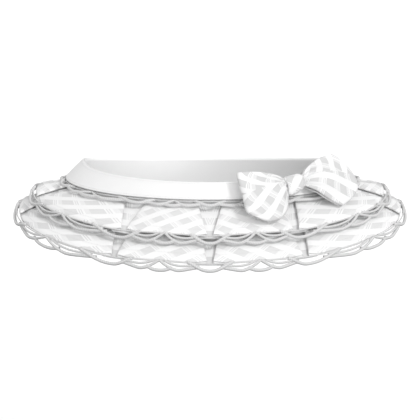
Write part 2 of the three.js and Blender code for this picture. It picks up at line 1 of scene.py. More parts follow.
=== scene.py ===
"""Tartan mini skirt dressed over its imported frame.

Every cut-and-sewn piece of the skirt is built here as cloth: the smooth yoke and its facing, two tiers of
box-pleated flounces cut on the bias, three rows of corded lace and a ribbon bow. Sizes are millimetres
and become metres when a mesh is made. Angles run round the waist from the front, 0, to the wearer's left.
"""

from __future__ import annotations

import logging
import math
from dataclasses import dataclass, field
from enum import Enum
from typing import Callable, Iterable, Sequence

import bpy
import numpy as np
from mathutils import Matrix, Vector, noise

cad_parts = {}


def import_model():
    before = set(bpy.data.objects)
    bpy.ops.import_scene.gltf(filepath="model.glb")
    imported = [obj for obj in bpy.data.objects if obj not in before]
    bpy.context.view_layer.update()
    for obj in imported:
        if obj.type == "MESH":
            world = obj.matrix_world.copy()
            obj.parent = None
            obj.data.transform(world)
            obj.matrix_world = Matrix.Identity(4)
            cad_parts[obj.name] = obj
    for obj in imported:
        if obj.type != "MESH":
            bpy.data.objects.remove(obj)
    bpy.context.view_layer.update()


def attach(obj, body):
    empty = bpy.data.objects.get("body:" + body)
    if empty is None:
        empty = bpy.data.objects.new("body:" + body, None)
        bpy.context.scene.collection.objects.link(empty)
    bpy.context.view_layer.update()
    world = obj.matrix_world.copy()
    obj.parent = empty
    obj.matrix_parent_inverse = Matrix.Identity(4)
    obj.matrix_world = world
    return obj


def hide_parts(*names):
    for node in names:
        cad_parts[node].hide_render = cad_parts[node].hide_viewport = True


log = logging.getLogger("tartan_mini_skirt")

MM = 0.001
BODY = "root"

CLOTH = 1.1  # thickness of a flounce or ribbon
YOKE_CLOTH = 1.3
SEAM_GAP = 0.3  # clearance of a piece from the seam plane at each side
QUARTER = math.pi / 2
FULL_TURN = 2 * math.pi


class Half(Enum):
    """The two halves that every ring of the skirt is cut into."""

    FRONT = "front"
    BACK = "back"


class Held(Enum):
    """Ways in which a sheet of cloth is held."""

    HUNG = "hung"
    GATHERED = "gathered"
    FOLDED = "folded"


# ------------------------------------------------------------------------------------------- rings


@dataclass(frozen=True)
class Ring:
    """A line round the body: half an ellipse in front and another behind, each tilted in height."""

    drop: float
    half_width: float
    front: float
    back: float
    z_side: float
    z_front: float
    z_back: float

    def point(self, angle: float) -> np.ndarray:
        """Point of the ring at an angle.

        Args:
            angle: Radians round the waist from the front.

        Returns:
            The point in millimetres.
        """
        ahead = math.cos(angle)
        depth, z_end = (self.front, self.z_front) if ahead >= 0 else (self.back, self.z_back)
        z = self.z_side + (z_end - self.z_side) * abs(ahead)
        return np.array((self.half_width * math.sin(angle), -depth * ahead, z))


@dataclass(frozen=True)
class Spot:
    """A place on a layer with its unit directions and its scales."""

    at: np.ndarray
    along: np.ndarray
    down: np.ndarray
    out: np.ndarray
    per_radian: float
    per_drop: float


@dataclass(frozen=True)
class Layer:
    """A smooth surface round the body through a few rings, from its top at drop 0 to its hem at 1."""

    rings: tuple[Ring, ...]
    rounded: bool = False

    def point(self, angle: float, drop: float) -> np.ndarray:
        """Point of the layer.

        Args:
            angle: Radians round the waist.
            drop: How far down the layer, 0 at its top; it runs on past the last ring.

        Returns:
            The point in millimetres.
        """
        rings = self.rings
        i = 0
        while i < len(rings) - 2 and drop > rings[i + 1].drop:
            i += 1
        share = (drop - rings[i].drop) / (rings[i + 1].drop - rings[i].drop)
        here, there = rings[i].point(angle), rings[i + 1].point(angle)
        if not self.rounded or not 0 <= share <= 1:
            return here + (there - here) * share
        before = rings[i - 1].point(angle) if i > 0 else 2 * here - there
        after = rings[i + 2].point(angle) if i < len(rings) - 2 else 2 * there - here
        return catmull(before, here, there, after, share)

    def spot(self, angle: float, drop: float) -> Spot:
        """The layer's directions and scales at a point.

        Args:
            angle: Radians round the waist.
            drop: How far down the layer.

        Returns:
            The spot there.
        """
        small = 1e-3
        at = self.point(angle, drop)
        along = (self.point(angle + small, drop) - at) / small
        down = (self.point(angle, drop + small) - at) / small
        per_radian, per_drop = float(np.linalg.norm(along)), float(np.linalg.norm(down))
        along = along / per_radian
        down = down - along * float(down @ along)
        down = down / np.linalg.norm(down)
        return Spot(at, along, down, np.cross(down, along), per_radian, per_drop)

    def seams(self, half: Half, drop: float) -> tuple[float, float]:
        """Angles of the side seams of one half at a drop.

        Args:
            half: Front or back.
            drop: How far down the layer.

        Returns:
            Where the half starts and where it ends, in radians.
        """
        middle = 0.0 if half is Half.FRONT else math.pi
        depth = abs(float(self.point(middle, drop)[1]))
        shy = math.asin(SEAM_GAP / depth)
        if half is Half.FRONT:
            return -QUARTER + shy, QUARTER - shy
        return QUARTER + shy, 3 * QUARTER - shy


def catmull(a: np.ndarray, b: np.ndarray, c: np.ndarray, d: np.ndarray, t: float) -> np.ndarray:
    """Smooth curve through b and c.

    Args:
        a: The point before b.
        b: The point at t = 0.
        c: The point at t = 1.
        d: The point after c.
        t: Place between b and c.

    Returns:
        The point there.
    """
    return 0.5 * (2 * b + (c - a) * t + (2 * a - 5 * b + 4 * c - d) * t**2 + (3 * b - a - 3 * c + d) * t**3)


def through(values: Sequence[float], place: float) -> float:
    """Smooth value of a table at a place counted in its rows.

    Args:
        values: The table, a number for each row.
        place: The place, whole at a row.

    Returns:
        The value there.
    """
    i = min(max(int(place), 0), len(values) - 2)
    b, c = values[i], values[i + 1]
    a = values[i - 1] if i > 0 else 2 * b - c
    d = values[i + 2] if i < len(values) - 2 else 2 * c - b
    return float(catmull(np.array(a), np.array(b), np.array(c), np.array(d), place - i))


def lerp(a: float, b: float, t: float) -> float:
    """Straight blend from a to b."""
    return a + (b - a) * t


def uneven(x: float, y: float, z: float) -> float:
    """Soft unevenness of cloth, from -1 to 1, at a place in its own units."""
    return noise.noise(Vector((x, y, z)))


# ------------------------------------------------------------------------------------------ meshes


@dataclass
class Patch:
    """Grid of points [row][column] in millimetres with the cloth's own coordinates for each face."""

    points: np.ndarray
    corners: Callable[[int, int], tuple[tuple[float, float], ...]]


class MeshMaker:
    """Makes mesh objects in metres out of millimetre grids and tubes."""

    @staticmethod
    def cloth(name: str, patch: Patch, thickness: float, material: bpy.types.Material) -> bpy.types.Object:
        """Thin shell about a grid of points.

        Args:
            name: The piece's name.
            patch: Its middle surface.
            thickness: Thickness of the cloth in millimetres.
            material: Its finish.

        Returns:
            The new object, with its thickness still a modifier.
        """
        rows, columns = patch.points.shape[:2]
        faces = [
            (r * columns + c, r * columns + c + 1, (r + 1) * columns + c + 1, (r + 1) * columns + c)
            for r in range(rows - 1)
            for c in range(columns - 1)
        ]
        mesh = bpy.data.meshes.new(name)
        mesh.from_pydata((patch.points.reshape(-1, 3) * MM).tolist(), [], faces)
        layer = mesh.uv_layers.new(name="cloth")
        flat = [uv for r in range(rows - 1) for c in range(columns - 1) for uv in patch.corners(r, c)]
        layer.data.foreach_set("uv", [value for uv in flat for value in uv])
        return MeshMaker.finished(name, mesh, material, thickness)

    @staticmethod
    def finished(
        name: str, mesh: bpy.types.Mesh, material: bpy.types.Material, thickness: float = 0.0
    ) -> bpy.types.Object:
        """Object of a mesh, smooth, with its finish and thickness.

        Args:
            name: The piece's name.
            mesh: Its mesh.
            material: Its finish.
            thickness: Thickness that is added about the surface, or none.

        Returns:
            The new object, linked into the scene.
        """
        mesh.materials.append(material)
        mesh.validate()
        mesh.update()
        mesh.shade_smooth()
        made = bpy.data.objects.new(name, mesh)
        bpy.context.scene.collection.objects.link(made)
        if thickness:
            shell = made.modifiers.new("thickness", "SOLIDIFY")
            shell.thickness = thickness * MM
            shell.offset = 0.0
            shell.use_rim = True
            shell.use_even_offset = True
            shell.thickness_clamp = 1.5
        return made


class TubeBundle:
    """Collects round cords and makes one mesh of them."""

    def __init__(self, sides: int) -> None:
        """Starts an empty bundle of cords with a number of sides.

        Args:
            sides: How many faces run round a cord.
        """
        self.sides = sides
        self.points: list[np.ndarray] = []
        self.faces: list[tuple[int, ...]] = []
        self.uvs: list[tuple[float, float]] = []

    def add(self, path: np.ndarray, radii: Sequence[float]) -> None:
        """Adds one cord with rounded ends.

        Args:
            path: Its middle line, in millimetres.
            radii: Its radius at each point of the path.
        """
        sides = self.sides
        start = len(self.points)
        length = 0.0
        tangents = np.gradient(path, axis=0)
        tangents /= np.linalg.norm(tangents, axis=1)[:, None]
        side = np.cross(tangents[0], np.array((0.0, 0.0, 1.0)))
        side = side if np.linalg.norm(side) > 0.1 else np.array((1.0, 0.0, 0.0))
        lengths = []
        for i, (at, tangent) in enumerate(zip(path, tangents)):
            side = side - tangent * float(side @ tangent)
            side /= np.linalg.norm(side)
            up = np.cross(side, tangent)
            length += float(np.linalg.norm(path[i] - path[i - 1])) if i else 0.0
            lengths.append(length)
            for k in range(sides):
                turn = FULL_TURN * k / sides
                self.points.append(at + radii[i] * (math.cos(turn) * side + math.sin(turn) * up))
        for i in range(len(path) - 1):
            for k in range(sides):
                n = (k + 1) % sides
                a, b = start + i * sides + k, start + i * sides + n
                self.faces.append((a, a + sides, b + sides, b))
                self.uvs += [
                    (lengths[i], k / sides), (lengths[i + 1], k / sides),
                    (lengths[i + 1], (k + 1) / sides), (lengths[i], (k + 1) / sides)]
        last = start + (len(path) - 1) * sides
        for ring, order in ((start, range(sides)), (last, range(sides - 1, -1, -1))):
            self.faces.append(tuple(ring + k for k in order))
            self.uvs += [(lengths[0 if ring == start else -1], k / sides) for k in order]

    def made(self, name: str, material: bpy.types.Material) -> bpy.types.Object:
        """The bundle as one object.

        Args:
            name: The piece's name.
            material: Its finish.

        Returns:
            The new object.
        """
        mesh = bpy.data.meshes.new(name)
        mesh.from_pydata((np.array(self.points) * MM).tolist(), [], self.faces)
        layer = mesh.uv_layers.new(name="cloth")
        layer.data.foreach_set("uv", [value for uv in self.uvs for value in uv])
        return MeshMaker.finished(name, mesh, material)


def smooth_path(points: Sequence[np.ndarray], steps: int) -> np.ndarray:
    """Smooth line through points.

    Args:
        points: Points of the line.
        steps: Pieces between two points.

    Returns:
        The finer line, ends included.
    """
    line = [np.asarray(p, dtype=float) for p in points]
    line = [2 * line[0] - line[1], *line, 2 * line[-1] - line[-2]]
    fine = [
        catmull(line[i - 1], line[i], line[i + 1], line[i + 2], k / steps)
        for i in range(1, len(line) - 2)
        for k in range(steps)
    ]
    return np.array([*fine, line[-2]])


# --------------------------------------------------------------------------------------- materials


class NodePad:
    """Short way to lay out shader nodes in one tree."""

    def __init__(self, tree: bpy.types.NodeTree) -> None:
        """Starts on an emptied tree."""
        self.tree = tree
        tree.nodes.clear()

    def node(self, kind: str, **settings: object) -> bpy.types.Node:
        """A new node of a kind with its settings.

        Args:
            kind: The node's type name.
            settings: Its properties by name.

        Returns:
            The node.
        """
        made = self.tree.nodes.new(kind)
        for key, value in settings.items():
            setattr(made, key, value)
        return made

    def join(self, source: object, socket: bpy.types.NodeSocket) -> None:
        """Links a socket, or sets a plain value.

        Args:
            source: A socket to link from, or a value.
            socket: The input that takes it.
        """
        if isinstance(source, bpy.types.NodeSocket):
            self.tree.links.new(source, socket)
        else:
            socket.default_value = source

    def math(self, operation: str, a: object, b: object = 0.0, c: object = 0.0) -> bpy.types.NodeSocket:
        """Result of a Math node.

        Args:
            operation: What the node does.
            a: Its first value or socket.
            b: Its second.
            c: Its third.

        Returns:
            The node's output.
        """
        made = self.node("ShaderNodeMath", operation=operation)
        for socket, value in zip(made.inputs, (a, b, c)):
            self.join(value, socket)
        return made.outputs[0]

    def between(self, value: object, low: float, high: float, soft: float) -> bpy.types.NodeSocket:
        """Mask that is 1 from low to high, with soft edges.

        Args:
            value: What is tested.
            low: Where the mask starts.
            high: Where it ends.
            soft: Half the width of each edge.

        Returns:
            The mask.
        """
        rise = self.ramp(value, low - soft, low + soft)
        fall = self.ramp(value, high + soft, high - soft)
        return self.math("MULTIPLY", rise, fall)

    def ramp(self, value: object, low: float, high: float) -> bpy.types.NodeSocket:
        """Smooth step from 0 at low to 1 at high.

        Args:
            value: What is tested.
            low: Value that gives 0.
            high: Value that gives 1; it may be the lower of the two.

        Returns:
            The step.
        """
        flip = low > high
        made = self.node("ShaderNodeMapRange", interpolation_type="SMOOTHSTEP")
        self.join(value, made.inputs["Value"])
        made.inputs["From Min"].default_value = min(low, high)
        made.inputs["From Max"].default_value = max(low, high)
        made.inputs["To Min"].default_value = 1.0 if flip else 0.0
        made.inputs["To Max"].default_value = 0.0 if flip else 1.0
        return made.outputs["Result"]

    def blend(self, share: object, a: object, b: object) -> bpy.types.NodeSocket:
        """Colour mixed from a to b.

        Args:
            share: How much of b, 0 to 1.
            a: The first colour.
            b: The second colour.

        Returns:
            The mixed colour.
        """
        made = self.node("ShaderNodeMix", data_type="RGBA")
        self.join(share, made.inputs["Factor"])
        self.join(a, made.inputs["A"])
        self.join(b, made.inputs["B"])
        return made.outputs["Result"]


def new_group(name: str, inputs: dict[str, tuple[str, object]], outputs: dict[str, str]) -> NodePad:
    """Starts a shader node group.

    Args:
        name: Its name.
        inputs: Socket kind and default value of each input.
        outputs: Socket kind of each output.

    Returns:
        A pad on the group, with nodes named Group Input and Group Output.
    """
    tree = bpy.data.node_groups.new(name, "ShaderNodeTree")
    for key, (kind, value) in inputs.items():
        socket = tree.interface.new_socket(key, in_out="INPUT", socket_type=kind)
        if value is not None:
            socket.default_value = value
    for key, kind in outputs.items():
        tree.interface.new_socket(key, in_out="OUTPUT", socket_type=kind)
    pad = NodePad(tree)
    pad.node("NodeGroupInput", name="Group Input")
    pad.node("NodeGroupOutput", name="Group Output")
    return pad


NUMBER, VECTOR = "NodeSocketFloat", "NodeSocketVector"


class Weave:
    """Node group for the relief of a twill: fine slanted ribs with an uneven yarn."""

    group: bpy.types.NodeTree | None = None

    @classmethod
    def tree(cls) -> bpy.types.NodeTree:
        """The group, built once.

        Returns:
            Its tree: inputs Place in millimetres, Ribs a millimetre and Unevenness; output Height.
        """
        if cls.group:
            return cls.group
        pad = new_group(
            "twill_weave",
            {"Place": (VECTOR, None), "Ribs": (NUMBER, 1.2), "Unevenness": (NUMBER, 0.3)},
            {"Height": NUMBER},
        )
        given, out = pad.tree.nodes["Group Input"], pad.tree.nodes["Group Output"]
        split = pad.node("ShaderNodeSeparateXYZ")
        pad.join(given.outputs["Place"], split.inputs[0])
        yarn = pad.node("ShaderNodeTexNoise", noise_dimensions="3D")
        pad.join(given.outputs["Place"], yarn.inputs["Vector"])
        yarn.inputs["Scale"].default_value = 0.9
        yarn.inputs["Detail"].default_value = 3.0
        wander = pad.math("MULTIPLY", yarn.outputs["Fac"], given.outputs["Unevenness"])
        slant = pad.math("ADD", pad.math("ADD", split.outputs[0], split.outputs[1]), wander)
        turn = pad.math("MULTIPLY", pad.math("MULTIPLY", slant, given.outputs["Ribs"]), FULL_TURN)
        rib = pad.math("MULTIPLY_ADD", pad.math("SINE", turn), 0.5, 0.5)
        grain = pad.math("MULTIPLY_ADD", yarn.outputs["Fac"], 0.6, pad.math("MULTIPLY", rib, 0.7))
        pad.join(grain, out.inputs["Height"])
        cls.group = pad.tree
        return cls.group


class Sett:
    """Node group for the tartan: repeat 0 to 1 each way, grey checks on white with fine lines."""

    group: bpy.types.NodeTree | None = None
    SOFT = 0.008

    @classmethod
    def tree(cls) -> bpy.types.NodeTree:
        """The group, built once.

        Returns:
            Its tree: input Repeat, the place counted in repeats; output Shade, 0 on white to 1 on grey.
        """
        if cls.group:
            return cls.group
        pad = new_group("tartan_sett", {"Repeat": (VECTOR, None)}, {"Shade": NUMBER})
        given, out = pad.tree.nodes["Group Input"], pad.tree.nodes["Group Output"]
        split = pad.node("ShaderNodeSeparateXYZ")
        pad.join(given.outputs["Repeat"], split.inputs[0])
        broad = pad.math("FRACT", pad.math("ADD", split.outputs[0], 0.5))
        fine = pad.math("FRACT", pad.math("ADD", split.outputs[1], 0.5))
        across = pad.between(broad, 0.235, 0.765, cls.SOFT)
        square = pad.between(fine, 0.235, 0.765, cls.SOFT)
        hatch = pad.math(
            "MULTIPLY", pad.between(fine, 0.765, 0.95, cls.SOFT), cls.ticks(pad, split.outputs[0], 11.0))
        lines = pad.math("ADD", pad.between(fine, 0.04, 0.085, 0.01), pad.between(fine, 0.13, 0.175, 0.01))
        down = pad.math("ADD", square, pad.math("MULTIPLY", hatch, 0.75))
        down = pad.math("ADD", down, pad.math("MULTIPLY", lines, 0.95))
        pad.join(pad.math("MULTIPLY", across, down), out.inputs["Shade"])
        cls.group = pad.tree
        return cls.group

    @staticmethod
    def ticks(pad: NodePad, along: bpy.types.NodeSocket, count: float) -> bpy.types.NodeSocket:
        """Hatching of a half-tone band: a number of ticks in each repeat."""
        wave = pad.math("SINE", pad.math("MULTIPLY", along, count * FULL_TURN))
        return pad.math("MULTIPLY_ADD", pad.ramp(wave, -0.35, 0.35), 0.7, 0.25)


class Twist:
    """Node group for a twisted cord: slanted plies round it."""

    group: bpy.types.NodeTree | None = None

    @classmethod
    def tree(cls) -> bpy.types.NodeTree:
        """The group, built once.

        Returns:
            Its tree: inputs Place, along in millimetres and round in turns, and Pitch; output Height.
        """
        if cls.group:
            return cls.group
        pad = new_group("cord_twist", {"Place": (VECTOR, None), "Pitch": (NUMBER, 2.6)}, {"Height": NUMBER})
        given, out = pad.tree.nodes["Group Input"], pad.tree.nodes["Group Output"]
        split = pad.node("ShaderNodeSeparateXYZ")
        pad.join(given.outputs["Place"], split.inputs[0])
        turns = pad.math("DIVIDE", split.outputs[0], given.outputs["Pitch"])
        slant = pad.math("ADD", turns, pad.math("MULTIPLY", split.outputs[1], 2.0))
        ply = pad.math("ABSOLUTE", pad.math("SINE", pad.math("MULTIPLY", slant, math.pi)))
        pad.join(ply, out.inputs["Height"])
        cls.group = pad.tree
        return cls.group


@dataclass(frozen=True)
class Finish:
    """Plain facts of a cloth finish."""

    name: str
    ground: tuple[float, float, float]
    roughness: float
    sheen: float
    relief: float

    def start(self) -> tuple[bpy.types.Material, NodePad, bpy.types.Node]:
        """A new material with its Principled shader.

        Returns:
            The material, a pad on its nodes and the shader.
        """
        material = bpy.data.materials.new(self.name)
        material.use_nodes = True
        pad = NodePad(material.node_tree)
        shader = pad.node("ShaderNodeBsdfPrincipled")
        shader.inputs["Base Color"].default_value = (*self.ground, 1.0)
        shader.inputs["Roughness"].default_value = self.roughness
        shader.inputs["Sheen Weight"].default_value = self.sheen
        shader.inputs["Sheen Roughness"].default_value = 0.4
        shader.inputs["Specular IOR Level"].default_value = 0.3
        out = pad.node("ShaderNodeOutputMaterial")
        pad.join(shader.outputs["BSDF"], out.inputs["Surface"])
        return material, pad, shader

    def relieve(self, pad: NodePad, shader: bpy.types.Node, height: bpy.types.NodeSocket) -> None:
        """Feeds a height to the shader's normal.

        Args:
            pad: A pad on the material's nodes.
            shader: Its Principled shader.
            height: The height, 0 to 1.
        """
        bump = pad.node("ShaderNodeBump")
        bump.inputs["Strength"].default_value = 0.5
        bump.inputs["Distance"].default_value = self.relief * MM
        pad.join(height, bump.inputs["Height"])
        pad.join(bump.outputs["Normal"], shader.inputs["Normal"])

    @staticmethod
    def group(pad: NodePad, tree: bpy.types.NodeTree, **values: object) -> bpy.types.Node:
        """Places a node group with its values.

        Args:
            pad: A pad on the material's nodes.
            tree: The group.
            values: A value or socket for each input, by name.

        Returns:
            The group node.
        """
        made = pad.node("ShaderNodeGroup", node_tree=tree)
        for key, value in values.items():
            pad.join(value, made.inputs[key])
        return made

    @staticmethod
    def place(pad: NodePad, scale: tuple[float, float, float] = (1.0, 1.0, 1.0)) -> bpy.types.NodeSocket:
        """The cloth's own coordinates, scaled.

        Args:
            pad: A pad on the material's nodes.
            scale: How much each coordinate is stretched.

        Returns:
            The coordinates.
        """
        uv = pad.node("ShaderNodeUVMap", uv_map="cloth")
        mapping = pad.node("ShaderNodeMapping")
        mapping.inputs["Scale"].default_value = scale
        pad.join(uv.outputs["UV"], mapping.inputs["Vector"])
        return mapping.outputs["Vector"]


@dataclass(frozen=True)
class SatinFinish(Finish):
    """Smooth white cloth of the yoke and facing."""

    ribs: float = 1.6

    def material(self) -> bpy.types.Material:
        """The finish as a material.

        Returns:
            The material; its cloth coordinates are millimetres.
        """
        material, pad, shader = self.start()
        weave = self.group(pad, Weave.tree(), Place=self.place(pad), Ribs=self.ribs, Unevenness=0.4)
        mottle = pad.node("ShaderNodeTexNoise")
        pad.join(self.place(pad), mottle.inputs["Vector"])
        mottle.inputs["Scale"].default_value = 0.05
        cloudy = pad.math("MULTIPLY", mottle.outputs["Fac"], 0.5)
        shade = pad.math("MULTIPLY_ADD", weave.outputs["Height"], 0.25, cloudy)
        darker = tuple(0.95 * value for value in self.ground)
        pad.join(pad.blend(shade, (*self.ground, 1.0), (*darker, 1.0)), shader.inputs["Base Color"])
        self.relieve(pad, shader, weave.outputs["Height"])
        return material


@dataclass(frozen=True)
class TartanFinish(Finish):
    """Tartan twill of the flounces and the bow. Its cloth coordinates are counted in repeats."""

    check: tuple[float, float, float] = (0.765, 0.765, 0.765)
    repeat: tuple[float, float] = (18.0, 23.0)

    def material(self) -> bpy.types.Material:
        """The finish as a material.

        Returns:
            The material.
        """
        material, pad, shader = self.start()
        sett = self.group(pad, Sett.tree(), Repeat=self.place(pad))
        weave = self.group(
            pad, Weave.tree(), Place=self.place(pad, (*self.repeat, 1.0)), Ribs=1.1, Unevenness=0.25)
        shade = pad.math("MULTIPLY_ADD", weave.outputs["Height"], 0.05, sett.outputs["Shade"])
        pad.join(pad.blend(shade, (*self.ground, 1.0), (*self.check, 1.0)), shader.inputs["Base Color"])
        self.relieve(pad, shader, weave.outputs["Height"])
        return material


@dataclass(frozen=True)
class CordFinish(Finish):
    """Twisted cotton cord of the lace and the sewing thread, with painted shade in the grooves between its
    plies.
    """

    pitch: float = 2.6

    def material(self) -> bpy.types.Material:
        """The finish as a material.

        Returns:
            The material; its cloth coordinates are millimetres along and turns round.
        """
        material, pad, shader = self.start()
        twist = self.group(pad, Twist.tree(), Place=self.place(pad), Pitch=self.pitch)
        # Base colour darkens from each ply's crest into the groove beside it: painted shade in the grooves.
        groove_shade = tuple(0.82 * value for value in self.ground)
        tone = pad.blend(twist.outputs["Height"], (*groove_shade, 1.0), (*self.ground, 1.0))
        pad.join(tone, shader.inputs["Base Color"])
        self.relieve(pad, shader, twist.outputs["Height"])
        return material


# --------------------------------------------------------------------------------- pieces in common


@dataclass
class Wardrobe:
    """The finishes, made once."""

    satin: bpy.types.Material
    lining: bpy.types.Material
    tartan: bpy.types.Material
    ribbon: bpy.types.Material
    cord: bpy.types.Material
    thread: bpy.types.Material

    @classmethod
    def made(cls) -> Wardrobe:
        """Builds every finish.

        Returns:
            The wardrobe.
        """
        white = (0.95, 0.95, 0.95)
        return cls(
            satin=SatinFinish("satin_yoke", white, 0.5, 0.12, 0.05).material(),
            lining=SatinFinish("satin_facing", (0.93, 0.93, 0.93), 0.55, 0.1, 0.05, ribs=1.2).material(),
            tartan=TartanFinish("tartan_twill", white, 0.8, 0.1, 0.12).material(),
            ribbon=TartanFinish("tartan_ribbon", (0.92, 0.92, 0.92), 0.75, 0.1, 0.1, check=(0.68, 0.68, 0.68),
                                repeat=(18.0, 20.5)).material(),
            cord=CordFinish("lace_cord", (0.73, 0.73, 0.73), 0.75, 0.1, 0.25).material(),
            thread=CordFinish("sewing_thread", (0.9, 0.9, 0.9), 0.6, 0.1, 0.05, pitch=0.6).material(),
        )


def dress(piece: bpy.types.Object, slot: str, *nodes: str) -> bpy.types.Object:
    """Lets a piece ride on the skirt and stand for solids.

    Args:
        piece: The piece.
        slot: Its material slot; not used.
        nodes: The solids that it stands for.

    Returns:
        The piece.
    """
    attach(piece, BODY)
    if nodes:
        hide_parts(*nodes)
    log.info("%s: %d faces", piece.name, len(piece.data.polygons))
    return piece


def cut_of(points: np.ndarray) -> tuple[tuple[float, float], float]:
    """Flat cut of a piece from its rows and columns.

    Args:
        points: Grid of points [row][column] in millimetres.

    Returns:
        Its width and length in metres, and its area in square metres.
    """
    widths = np.linalg.norm(np.diff(points, axis=1), axis=2).sum(axis=1)
    steps = np.linalg.norm(np.diff(points, axis=0), axis=2)
    length = float(steps.sum(axis=0).mean())
    shares = steps.mean(axis=1)
    area = float((0.5 * (widths[:-1] + widths[1:]) * shares).sum())
    return (float(widths.max()) * MM, length * MM), area * MM * MM


class Stitching:
    """Rows of short stitches that lie on a piece of cloth."""

    LENGTH, GAP, RADIUS = 2.4, 1.3, 0.2

    def __init__(self) -> None:
        """Starts with no stitches."""
        self.bundle = TubeBundle(5)

    def run(self, place: Callable[[float], tuple[np.ndarray, np.ndarray]], start: float, end: float,
            length: float) -> None:
        """Sews one row.

        Args:
            place: Point of the cloth and its outward direction at a value from start to end.
            start: Value where the row begins.
            end: Value where it ends.
            length: Length of the row in millimetres.
        """
        count = max(1, int(length / (self.LENGTH + self.GAP)))
        for i in range(count):
            values = [lerp(start, end, (i + part * self.LENGTH / (self.LENGTH + self.GAP)) / count)
                      for part in (0.0, 0.5, 1.0)]
            path = []
            for value, rise in zip(values, (-0.1, 0.22, -0.1)):
                at, out = place(value)
                path.append(at + out * rise)
            self.bundle.add(np.array(path), (self.RADIUS * 0.7, self.RADIUS, self.RADIUS * 0.7))

    def made(self, name: str, wardrobe: Wardrobe) -> bpy.types.Object:
        """All rows as one piece."""
        return self.bundle.made(name, wardrobe.thread)


# ------------------------------------------------------------------------------------ yoke, facing


@dataclass
class SmoothRing:
    """A smooth ring of cloth in two halves: the yoke or its facing."""

    name: str
    layer: Layer
    thickness: float
    slot: str = "white_cloth"
    rests_on: tuple[str, ...] = ()
    wave: float = 0.0
    columns: int = 160
    rows: int = 18
    stitch_drops: tuple[float, ...] = ()

    def surface(self, angle: float, drop: float) -> np.ndarray:
        """Point of the cloth, a little uneven towards its lower edge.

        Args:
            angle: Radians round the waist.
            drop: How far down, 0 to 1.

        Returns:
            The point in millimetres.
        """
        spot = self.layer.spot(angle, drop)
        ripple = uneven(3.0 * math.sin(angle), 3.0 * math.cos(angle), drop * 1.2 + 7.0)
        return spot.at + spot.out * ripple * self.wave * drop

    def half(self, half: Half, material: bpy.types.Material) -> bpy.types.Object:
        """One half as a thin shell.

        Args:
            half: Front or back.
            material: Its finish.

        Returns:
            The piece.
        """
        grid = np.empty((self.rows + 1, self.columns + 1, 3))
        for r in range(self.rows + 1):
            drop = r / self.rows
            start, end = self.layer.seams(half, drop)
            for c in range(self.columns + 1):
                grid[r, c] = self.surface(lerp(start, end, c / self.columns), drop)
        (width, length), area = cut_of(grid)
        across = width / MM / self.columns
        down = length / MM / self.rows

        def corners(r: int, c: int) -> tuple[tuple[float, float], ...]:
            """Cloth coordinates of a face in millimetres."""
            return tuple((x * across, y * down) for x, y in ((c, r), (c + 1, r), (c + 1, r + 1), (c, r + 1)))

        name = f"{self.name}_{half.value}"
        piece = MeshMaker.cloth(f"{name}_cloth", Patch(grid, corners), self.thickness, material)
        dress(piece, self.slot, name)
        list(self.rests_on)
        return piece

    def sew(self, stitching: Stitching, side: float) -> None:
        """Adds the rows of stitches on the side that shows, 1 outside or -1 inside.

        Args:
            stitching: Where the stitches go.
            side: 1 outside or -1 inside.
        """
        for drop in self.stitch_drops:
            for half in Half:
                start, end = self.layer.seams(half, drop)

                def place(angle: float, drop: float = drop) -> tuple[np.ndarray, np.ndarray]:
                    """Point on the face of the cloth and its outward direction.

                    Args:
                        angle: Radians round the waist.
                        drop: How far down the layer.

                    Returns:
                        The point and the direction.
                    """
                    spot = self.layer.spot(angle, drop)
                    out = spot.out * side
                    return self.surface(angle, drop) + out * self.thickness / 2, out

                length = self.layer.spot((start + end) / 2, drop).per_radian * (end - start)
                stitching.run(place, start, end, length)


# ----------------------------------------------------------------------------------------- flounces


@dataclass(frozen=True)
class Pleat:
    """An inverted box pleat: half of the gap between panels at the seam and hem, and its fold-back.

    The angle is that of its hem, and lean is how much farther round it starts at the seam.
    """

    angle: float
    gap_top: float
    gap_hem: float
    fold: float
    lean: float = 0.0

    def half_gap(self, drop: float) -> float:
        """Half gap at a drop."""
        return lerp(self.gap_top, self.gap_hem, min(max(drop, 0.0), 1.0))


@dataclass(frozen=True)
class PleatRing:
    """All the pleats round a tier, counted on without end."""

    pleats: tuple[Pleat, ...]

    def pleat(self, index: int) -> Pleat:
        """Pleat number index."""
        return self.pleats[index % len(self.pleats)]

    def angle(self, index: int, drop: float = 1.0) -> float:
        """Angle of pleat number index at a drop, in radians, growing past a full turn.

        Args:
            index: The pleat, counted on round the waist.
            drop: How far down the tier.

        Returns:
            Its angle.
        """
        turns = index // len(self.pleats)
        pleat = self.pleat(index)
        lean = pleat.lean * (1 - min(max(drop, 0.0), 1.0))
        return math.radians(pleat.angle + lean) + FULL_TURN * turns

    def share(self, angle: float) -> tuple[int, float]:
        """Pleat before an angle and how far the angle lies from it to the next, 0 to 1.

        Args:
            angle: Radians round the waist.

        Returns:
            The pleat and the share.
        """
        index = int((angle - self.angle(0)) // FULL_TURN) * len(self.pleats)
        while self.angle(index + 1) < angle:
            index += 1
        here, there = self.angle(index), self.angle(index + 1)
        return index, (angle - here) / (there - here)


@dataclass(frozen=True)
class TierRow:
    """A row of a tier: pleat layer step, swell of a panel, and how the hem turns in and up."""

    drop: float
    layer: float
    pillow: float
    roll: float = 0.0
    tuck: float = 0.0


